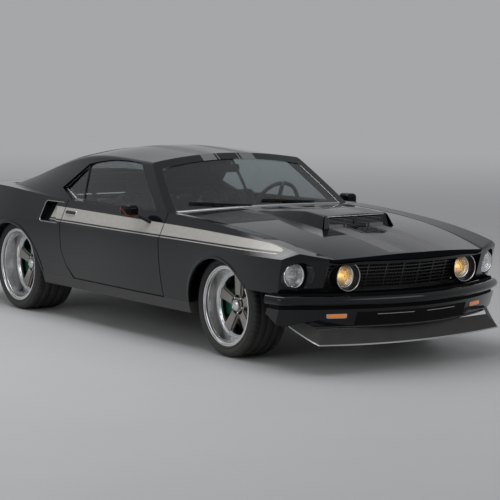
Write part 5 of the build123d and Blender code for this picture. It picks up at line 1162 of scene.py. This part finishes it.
# Engine: a cast iron V8 with finned covers, a low intake, a carburettor and a round air cleaner on top.
# Pulleys, a belt and a fan are ahead of it, four tubes leave each bank, and a cross bar carries it.
def tube(path, radius, steps=12):
    """A round pipe through points."""
    rings = []
    for i, spot in enumerate(path):
        ahead = (Vector(path[min(i + 1, len(path) - 1)]) - Vector(path[max(i - 1, 0)])).normalized()
        aside = ahead.cross(Vector((1, 0.1, 0.2))).normalized()
        up = aside.cross(ahead)
        turns = [2 * pi * k / steps for k in range(steps)]
        rings.append([tuple(Vector(spot) + (aside * cos(a) + up * sin(a)) * radius) for a in turns])
    return turned(rings, False)


ENGINE_MID = 1.165
HALF_BLOCK = [(0.12, 0.335), (0.145, 0.36), (0.15, 0.46), (0.235, 0.555), (0.235, 0.575), (0.17, 0.64),
              (0.15, 0.645), (0.06, 0.575)]
# Columns: x along the block, size of the section there
BLOCK_STATIONS = ((0.885, 0.95), (0.892, 1.0), (1.435, 1.0), (1.442, 0.95))
BLOCK_MID_Z = 0.48
MOUNT_HALF, MOUNT_Z, MOUNT_SIZE = 0.299, 0.42, (0.09, 0.04)
INTAKE_SIZE, CARBURETTOR_SIZE, COVER_SIZE = (0.40, 0.17, 0.075), (0.13, 0.11, 0.047), (0.49, 0.125, 0.062)
COVER_RIB, RIB_HALF, RIB_STEP = (0.005, 0.007), 0.2, 0.0125
HEADER_R, HEADER_STEP = 0.019, 0.127
block_shape = HALF_BLOCK + [(-y, z) for y, z in reversed(HALF_BLOCK)]
block_rings = []
for x, size in BLOCK_STATIONS:
    block_rings.append([(x, y * size, BLOCK_MID_Z + (z - BLOCK_MID_Z) * size) for y, z in block_shape])
verts, faces = turned(block_rings, False)
count = len(block_shape)
block = verts, faces + [tuple(range(count - 1, -1, -1)), tuple(range(3 * count, 4 * count))]
mount_ends = [(ENGINE_MID + 0.02, y, MOUNT_Z) for y in (-MOUNT_HALF, MOUNT_HALF)]
mount_bar = bar(*mount_ends, *MOUNT_SIZE, (0, 0, 1))
flat_axes = ((1, 0, 0), (0, 1, 0))
intake = rounded_slab((ENGINE_MID, 0, 0.575), INTAKE_SIZE, flat_axes, 0.03, 0.012)
carburettor = rounded_slab((ENGINE_MID, 0, 0.650), CARBURETTOR_SIZE, flat_axes, 0.015, 0.006)
covers, ribs, pipes = [], [], []
for side in (1, -1):
    out = Vector((0, side * 0.7071, 0.7071))
    down = out.cross(Vector((1, 0, 0)))
    seat = Vector((ENGINE_MID, side * 0.205, 0.606))
    covers.append(rounded_slab(seat, COVER_SIZE, ((1, 0, 0), down), 0.022, 0.016))
    for row in range(-3, 4):
        spot = seat + out * 0.0625 + down * (RIB_STEP * row)
        ribs.append(bar(spot - Vector((RIB_HALF, 0, 0)), spot + Vector((RIB_HALF, 0, 0)), *COVER_RIB, out))
    for number in range(4):
        x = ENGINE_MID - 0.19 + HEADER_STEP * number
        bend = [(x, 0.20, 0.515), (x, 0.245, 0.50), (x - 0.004, 0.268, 0.475), (x - 0.02, 0.272, 0.43),
                (x - 0.06 - 0.04 * number, 0.262, 0.385), (0.92, 0.25, 0.365), (0.875, 0.248, 0.355)]
        pipes.append(tube([(along, side * y, z) for along, y, z in bend], HEADER_R))
# Air cleaner, turned: radius, z; its fifth band is the bare paper between the two pressed lids
CLEANER_SHAPE = [
    (0.02, 0.697), (0.163, 0.697), (0.171, 0.700), (0.171, 0.706), (0.162, 0.708), (0.162, 0.741),
    (0.171, 0.743), (0.174, 0.748), (0.169, 0.754), (0.12, 0.7585), (0.03, 0.7605), (0.011, 0.761),
    (0.009, 0.769), (0.001, 0.770),
]
CLEANER_STEPS = 64
PAPER_BAND = 4
turns = [2 * pi * k / CLEANER_STEPS for k in range(CLEANER_STEPS)]
cleaner_rings = [[(ENGINE_MID + r * cos(a), r * sin(a), z) for a in turns] for r, z in CLEANER_SHAPE]
cleaner = turned(cleaner_rings, False)
BELT_X, BELT_SIZE, BELT_MID_Z = 1.458, (0.013, 0.006), 0.51
# Columns: y, z, radius
PULLEYS = ((0.0, 0.42, 0.085), (0.0, 0.575, 0.07), (0.175, 0.60, 0.036), (-0.18, 0.53, 0.045))
pulleys, wraps = [], []
for y, z, radius in PULLEYS:
    groove = [(-0.012, 0.3 * radius), (-0.012, radius), (-0.008, radius), (0.0, radius - 0.005),
              (0.008, radius), (0.012, radius), (0.012, 0.86 * radius), (0.004, 0.8 * radius),
              (0.004, 0.3 * radius), (0.010, 0.25 * radius), (0.010, 0.02 * radius)]
    pulleys.append(turned(about_x(groove, (BELT_X, y, z), 40), False))
    wraps += [(y + (radius - 0.001) * cos(a), z + (radius - 0.001) * sin(a)) for a in turns[::2]]
hull = [wraps[i] for i in convex_hull_2d(wraps)]
hull = evened(np.array([(BELT_X, y, z) for y, z in hull]), 0.012)
belt = strip(hull, *BELT_SIZE, [tuple(spot - np.array((BELT_X, 0.0, BELT_MID_Z))) for spot in hull])
FAN_BLADES = 6
FAN_MIDDLE = (1.484, 0, 0.575)
FAN_REACH, FAN_BLADE = (0.03, 0.155), (0.046, 0.003)
FAN_HUB = [(-0.015, 0.04), (0.006, 0.04), (0.010, 0.03), (0.012, 0.002)]
blades = []
hub = Vector(FAN_MIDDLE)
for number in range(FAN_BLADES):
    turn = pi / 3 * number
    out = Vector((0, cos(turn), sin(turn)))
    pitch = Vector((0.86, -0.5 * sin(turn), 0.5 * cos(turn)))
    blades.append(bar(hub + out * FAN_REACH[0], hub + out * FAN_REACH[1], *FAN_BLADE, pitch))
fan_hub = turned(about_x(FAN_HUB, FAN_MIDDLE, 32), False)
verts, faces, kinds = joined(block, mount_bar, intake, carburettor, *covers, *ribs, *pipes, cleaner,
                             *pulleys, belt, *blades, fan_hub)
filter_paper = finish("filter_paper", (0.55, 0.50, 0.40), 0.8, grain_scale=400, stretch=(1, 1, 0.05),
                      grain_depth=0.0008)
engine_finishes = [cast_iron, aluminised, bright, satin_black, filter_paper, brushed]
# Columns: place of the finish, number of forms that have it, in the order joined above
ranges = [(0, 2), (1, 1), (5, 1), (3, 2), (5, len(ribs)), (1, len(pipes)), (2, 1), (3, len(pulleys)), (3, 1),
          (1, FAN_BLADES + 1)]
looks = [look for look, times in ranges for _ in range(times)]
cleaner_number = 6 + len(ribs) + len(pipes)
first = kinds.index(cleaner_number)
face_looks = [looks[kind] for kind in kinds]
paper_from = first + PAPER_BAND * CLEANER_STEPS
face_looks[paper_from:paper_from + CLEANER_STEPS] = [engine_finishes.index(filter_paper)] * CLEANER_STEPS
engine = piece("engine_metal", verts, faces, engine_finishes, "body", "cast", face_looks)
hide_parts("engine")

# Dash and steering wheel: a padded twin-hump dash with brushed dial rims and a bright line along each hump.
# The three-spoke wheel is bound in leather, with one teal mark sewn in at the top of its rim.
soft_black = finish("soft_black", (0.014, 0.014, 0.015), 0.55, shade=0.35, grain_scale=700,
                    grain_depth=0.0003)
dress(soft_black, "dashboard", "centre_console", "steering_column")
LEATHER = {"colour": (0.022, 0.021, 0.021), "roughness": 0.42, "shade": 0.45, "spread": 0.2, "scale": 14,
           "grain_scale": 320, "grain_depth": 0.0005}
MARK_TEAL = (0.0, 0.38, 0.26)
MARK_BAND, MARK_FROM = (0.358, 0.382), (0.996, 1.0)
wheel_leather = finish("wheel_leather", **LEATHER)
wheel_tree = wheel_leather.node_tree
wheel_axes = wheel_tree.nodes.new("ShaderNodeSeparateXYZ")
wheel_tree.links.new(metres(wheel_tree), wheel_axes.inputs[0])
at_top = spread_between(wheel_tree, wheel_axes.outputs["Z"], *MARK_FROM)
mark = sum_node(wheel_tree, "MULTIPLY", in_band(wheel_tree, wheel_axes.outputs["Y"], *MARK_BAND), at_top)
marked(wheel_leather, mark, MARK_TEAL)
dress(wheel_leather, "steering_wheel")
# Columns: y from the middle of the hump, radius
DIALS = ((-0.115, 0.052), (0.0, 0.06), (0.115, 0.052))
DIAL_RIM = [(0.0, 0.0), (-0.012, 0.0), (-0.016, 0.003), (-0.012, 0.006), (0.0, 0.006)]
HUMP_Y, DIAL_Z = 0.37, 0.775
DASH_LINE, DASH_LINE_SIZE = (0.09, 0.65), (0.006, 0.006)
dash_low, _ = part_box("dashboard")
dash_bits = []
for side in (1, -1):
    for dial, dial_r in DIALS:
        centre = (dash_low[0] + 0.012, side * HUMP_Y + dial, DIAL_Z)
        rim_shape = [(dx, dial_r + dr) for dx, dr in DIAL_RIM]
        dash_bits.append(turned(about_x(rim_shape, centre, 40), True))
dash_skin = panel_tree("dashboard")
for side in (1, -1):
    starts = [(dash_low[0] + 0.02, side * y, OVERHEAD) for y in np.linspace(*DASH_LINE, 41)]
    line = [seen_on(dash_skin, start, (0, 0, -1)) for start in starts]
    line = [(np.array(spot), normal) for spot, normal in line if spot is not None]
    line_spots, line_normals = [spot for spot, _ in line], [normal for _, normal in line]
    dash_bits.append(strip(line_spots, *DASH_LINE_SIZE, line_normals, False))
verts, faces, _ = joined(*dash_bits)
piece("dial_rims", verts, faces, [brushed], "body", "steel")

# Gear lever: a bright steel stick that rises from the console, with a soft black knob screwed on.
# Cabin mirror: a moulded black case on a short stalk that hangs from the roof's front rail.
LEVER_FOOT, LEVER_RUN, LEVER_SIZE = (0.20, 0.515), (-0.05, 0.16), (0.012, 0.012)
KNOB_MIDDLE, KNOB_SIZE = (0.148, 0.0, 0.685), (0.024, 0.022)
CASE_MIDDLE, CASE_SIZE = (0.185, 0, 1.125), (0.23, 0.058, 0.022)
STALK_X, STALK_FOOT, STALK_TALL, STALK_SIZE = 0.190, 1.14, 0.05, (0.014, 0.012)
lever_line = []
for t in np.linspace(0, 1, 8):
    lever_line.append(np.array((LEVER_FOOT[0] + LEVER_RUN[0] * t, 0.0, LEVER_FOOT[1] + LEVER_RUN[1] * t)))
lever = strip(lever_line, *LEVER_SIZE, [(1, 0, 0.3)] * 8, False)
knob = domes([KNOB_MIDDLE], *KNOB_SIZE, 20)
verts, faces, kinds = joined(lever, knob)
piece("gear_lever", verts, faces, [bright, soft_black], "body", "steel", kinds)
mirror_body = rounded_slab(CASE_MIDDLE, CASE_SIZE, ((0, -1, 0), (0, 0, 1)), 0.024, 0.006)
stalk_line = [np.array((STALK_X, 0, STALK_FOOT + STALK_TALL * t)) for t in (0, 0.5, 1)]
mirror_stalk = strip(stalk_line, *STALK_SIZE, [(1, 0, 0)] * 3, False)
verts, faces, _ = joined(mirror_body, mirror_stalk)
piece("cabin_mirror", verts, faces, [soft_black], "body", "black_plastic")


# Seats: foam buckets and a rear bench, wrapped in dark leather with sewn channels.
# Each pad is blown up as cloth, held to a small swell, then drawn in along its seams.
def pad_box(size, rounding, steps=18):
    """A closed rounded block of quads about the origin."""
    sizes = np.array(size) / 2
    found, verts, faces = {}, [], []

    def corner(point):
        key = tuple(np.round(point, 6))
        if key not in found:
            inner = np.clip(point, -(sizes - rounding), sizes - rounding)
            away = point - inner
            found[key] = len(verts)
            verts.append(inner + away / np.linalg.norm(away) * rounding)
        return found[key]

    grid = np.linspace(-1, 1, steps + 1)
    for axis in range(3):
        for end in (-1, 1):
            for i in range(steps):
                for j in range(steps):
                    square = []
                    for a, b in ((i, j), (i + 1, j), (i + 1, j + 1), (i, j + 1)):
                        point = np.zeros(3)
                        point[axis] = end
                        point[(axis + 1) % 3], point[(axis + 2) % 3] = grid[a], grid[b]
                        square.append(corner(point * sizes))
                    faces.append(tuple(square if end > 0 else reversed(square)))
    return verts, faces


STUFFING_PRESSURE = 4.0
STUFFING_FRAMES = 20
PAD_SWELL = 0.012
PAD_MESH = 0.009
PAD_ROOM = 0.016
PAD_ROUND = 0.04
BOLSTER_RISE, FACE_DROP = 0.028, 0.012
CHANNEL_DEEP, CHANNEL_HALF = 0.009, 0.008
CROSS_DEEP, CROSS_HALF, CROSS_PLACE = 0.007, 0.009, 0.28


def stuffed(verts, faces, voxel, most):
    """The same form blown up as cloth, by at most the given distance; returns points and faces."""
    mesh = bpy.data.meshes.new("pad")
    mesh.from_pydata([tuple(v) for v in verts], [], faces)
    obj = bpy.data.objects.new("pad", mesh)
    bpy.context.scene.collection.objects.link(obj)
    bpy.context.view_layer.objects.active = obj
    remesh = obj.modifiers.new("voxels", "REMESH")
    remesh.mode = "VOXEL"
    remesh.voxel_size = voxel
    bpy.ops.object.modifier_apply(modifier=remesh.name)
    start = np.array([v.co[:] for v in obj.data.vertices])
    cloth = obj.modifiers.new("stuffing", "CLOTH")
    cloth.settings.use_pressure = True
    cloth.settings.uniform_pressure_force = STUFFING_PRESSURE
    cloth.settings.effector_weights.gravity = 0.0
    cloth.point_cache.frame_end = STUFFING_FRAMES
    scene = bpy.context.scene
    for number in range(1, STUFFING_FRAMES + 1):
        scene.frame_set(number)
    shown = obj.evaluated_get(bpy.context.evaluated_depsgraph_get()).to_mesh()
    moved = np.array([v.co[:] for v in shown.vertices])
    scene.frame_set(1)
    step = moved - start
    length = np.maximum(np.linalg.norm(step, axis=1, keepdims=True), 1e-9)
    points = start + step * np.minimum(1.0, most / length)
    quads = [tuple(p.vertices) for p in obj.data.polygons]
    bpy.data.objects.remove(obj)
    return points, quads


def seat_pad(size, channels):
    """A pad with its wearing face up (+Z), channels sewn along X at the given shares of its width."""
    verts, faces = pad_box([side - PAD_ROOM for side in size], PAD_ROUND)
    points = np.array(verts)
    points, faces = stuffed(verts, faces, PAD_MESH, PAD_SWELL)
    top = np.clip((points[:, 2] / (size[2] / 2) - 0.2) / 0.4, 0, 1)
    bolster = np.clip((np.abs(points[:, 1]) / (size[1] / 2) - 0.55) / 0.35, 0, 1)
    points[:, 2] += top * (BOLSTER_RISE * bolster ** 2 - FACE_DROP)
    for place in channels:
        away = points[:, 1] - place * size[1]
        points[:, 2] -= top * CHANNEL_DEEP * np.exp(-(away / CHANNEL_HALF) ** 2)
    cross = points[:, 0] - CROSS_PLACE * size[0]
    points[:, 2] -= top * CROSS_DEEP * np.exp(-(cross / CROSS_HALF) ** 2)
    return points, faces


leather = finish("black_leather", **LEATHER)


def set_pad(name, pad, centre, lean, node):
    """A pad leant back by an angle about Y and moved into the cabin."""
    points, faces = pad
    c, s = cos(lean), sin(lean)
    x = centre[0] + points[:, 0] * c + points[:, 2] * s
    z = centre[2] - points[:, 0] * s + points[:, 2] * c
    placed = np.stack([x, centre[1] + points[:, 1], z], axis=1)
    obj = piece(name, placed, faces, [leather], "body", "leather")
    smooth = obj.modifiers.new("soft", "SUBSURF")
    smooth.levels = smooth.render_levels = 1
    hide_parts(node)


BUCKET_CHANNELS = (-0.27, -0.09, 0.09, 0.27)
BENCH_CHANNELS = (-0.30, -0.10, 0.10, 0.30)
SEAT_Y = 0.375
BASE_SIZE = (0.50, 0.40, 0.055)
bucket = seat_pad((0.50, 0.455, 0.150), BUCKET_CHANNELS)
bucket_back = seat_pad((0.57, 0.455, 0.110), BUCKET_CHANNELS)
bench = seat_pad((0.34, 0.92, 0.120), BENCH_CHANNELS)
bench_back = seat_pad((0.42, 0.92, 0.085), BENCH_CHANNELS)
for side_name, side in SIDES:
    set_pad(f"{side_name}_seat_cushion", bucket, (0.055, side * SEAT_Y, 0.372), radians(-5), "front_seats")
    set_pad(f"{side_name}_seat_back", bucket_back, (-0.262, side * SEAT_Y, 0.668), radians(72), "front_seats")
    base = rounded_slab((0.03, side * SEAT_Y, 0.265), BASE_SIZE, flat_axes, 0.05, 0.01)
    piece(f"{side_name}_seat_base", *base, [soft_black], "body", "black_plastic")
bench_low, bench_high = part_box("rear_seat")
bench_middle = (bench_low[0] + 0.300, 0.0, bench_high[2] - 0.325)
bench_back_middle = (bench_low[0] + 0.115, 0.0, bench_high[2] - 0.195)
set_pad("bench_cushion", bench, bench_middle, radians(-4), "rear_seat")
set_pad("bench_back", bench_back, bench_back_middle, radians(76), "rear_seat")

# Studio floor: a wide sheet of pale matte card that runs into a pale surround with no edge.
# Far off, the card fades into the colour of the surround.
PALE = (0.83, 0.84, 0.85)
SURROUND = 0.46
FLOOR_WIDE = 200
FADE_FROM, FADE_TO = 4.5, 22.0
bpy.ops.mesh.primitive_plane_add(size=FLOOR_WIDE)
floor = bpy.context.object
floor.name = "floor"
floor_paint = bpy.data.materials.new("pale_floor")
floor_paint.use_nodes = True
floor_tree = floor_paint.node_tree
floor_shader = floor_tree.nodes["Principled BSDF"]
floor_shader.inputs["Roughness"].default_value = 0.55
floor_shader.inputs["Specular IOR Level"].default_value = 0.15
floor_look = place_effect(floor_paint, uneven, Colour=(0.48, 0.485, 0.49, 1), Roughness=0.55, Scale=1.5,
                          Shade=0.05, Spread=0.1)
floor_tree.links.new(floor_look.outputs["Colour"], floor_shader.inputs["Base Color"])
haze = floor_tree.nodes.new("ShaderNodeEmission")
haze.inputs["Color"].default_value = (*PALE, 1)
haze.inputs["Strength"].default_value = SURROUND
distance = floor_tree.nodes.new("ShaderNodeVectorMath")
distance.operation = "LENGTH"
floor_tree.links.new(floor_tree.nodes.new("ShaderNodeNewGeometry").outputs["Position"], distance.inputs[0])
far_off = spread_between(floor_tree, distance.outputs["Value"], FADE_FROM, FADE_TO)
into_haze = floor_tree.nodes.new("ShaderNodeMixShader")
floor_tree.links.new(far_off, into_haze.inputs[0])
floor_tree.links.new(floor_shader.outputs["BSDF"], into_haze.inputs[1])
floor_tree.links.new(haze.outputs["Emission"], into_haze.inputs[2])
floor_tree.links.new(into_haze.outputs["Shader"], floor_tree.nodes["Material Output"].inputs["Surface"])
floor.data.materials.append(floor_paint)
world = bpy.data.worlds.new("studio")
bpy.context.scene.world = world
world.use_nodes = True
surround = world.node_tree.nodes["Background"]
surround.inputs["Color"].default_value = (*PALE, 1)
surround.inputs["Strength"].default_value = SURROUND


# Studio lights: three soft boxes, above, beside and ahead, each a sheet of cloth over a lamp.
# Their light falls away towards the edges of the cloth.
def soft_box(name, place, aim, size, watts):
    """An area light with soft edges, turned towards a place."""
    light = bpy.data.lights.new(name, "AREA")
    light.shape = "RECTANGLE"
    light.size, light.size_y = size
    light.energy = watts
    light.use_nodes = True
    tree = light.node_tree
    across = tree.nodes.new("ShaderNodeSeparateXYZ")
    tree.links.new(tree.nodes.new("ShaderNodeNewGeometry").outputs["Parametric"], across.inputs[0])
    fades = []
    for axis in ("X", "Y"):
        off_middle = sum_node(tree, "SUBTRACT", across.outputs[axis], 0.5)
        from_edge = sum_node(tree, "SUBTRACT", 0.5, sum_node(tree, "ABSOLUTE", off_middle, 0.0))
        fades.append(spread_between(tree, from_edge, 0.0, SOFT_EDGE))
    tree.links.new(sum_node(tree, "MULTIPLY", *fades), tree.nodes["Emission"].inputs["Strength"])
    lamp = bpy.data.objects.new(name, light)
    bpy.context.scene.collection.objects.link(lamp)
    lamp.location = place
    lamp.rotation_mode = "QUATERNION"
    lamp.rotation_quaternion = (Vector(aim) - Vector(place)).to_track_quat("-Z", "Y")


SOFT_EDGE = 0.3
soft_box("overhead_box", (-1.2, -1.5, 6.5), (-0.9, -1.5, 0), (5.5, 10.0), 620)
soft_box("side_box", (2.0, -8.5, 3.4), (0.3, 0, 0.7), (12.0, 4.2), 260)
soft_box("front_box", (9.0, 2.0, 3.2), (1.2, 0, 0.6), (8.0, 4.0), 170)

# Camera: a long lens at the photograph's angle, low before the right front wheel.
# Its place, turn and shift are a fit to the photograph.
camera = bpy.data.cameras.new("camera")
camera.lens = 143.05
camera.shift_x, camera.shift_y = -0.030, 0.030
viewer = bpy.data.objects.new("camera", camera)
bpy.context.scene.collection.objects.link(viewer)
AROUND, ABOVE, ROLL = radians(54.77), radians(6.64), radians(0.34)
back = Vector((sin(AROUND) * cos(ABOVE), -cos(AROUND) * cos(ABOVE), sin(ABOVE)))
viewer.location = (11.910, -7.935, 2.083)
viewer.rotation_mode = "QUATERNION"
viewer.rotation_quaternion = (-back).to_track_quat("-Z", "Y") @ Quaternion((0, 0, 1), ROLL)
bpy.context.scene.camera = viewer
bpy.context.scene.view_settings.view_transform = "Standard"
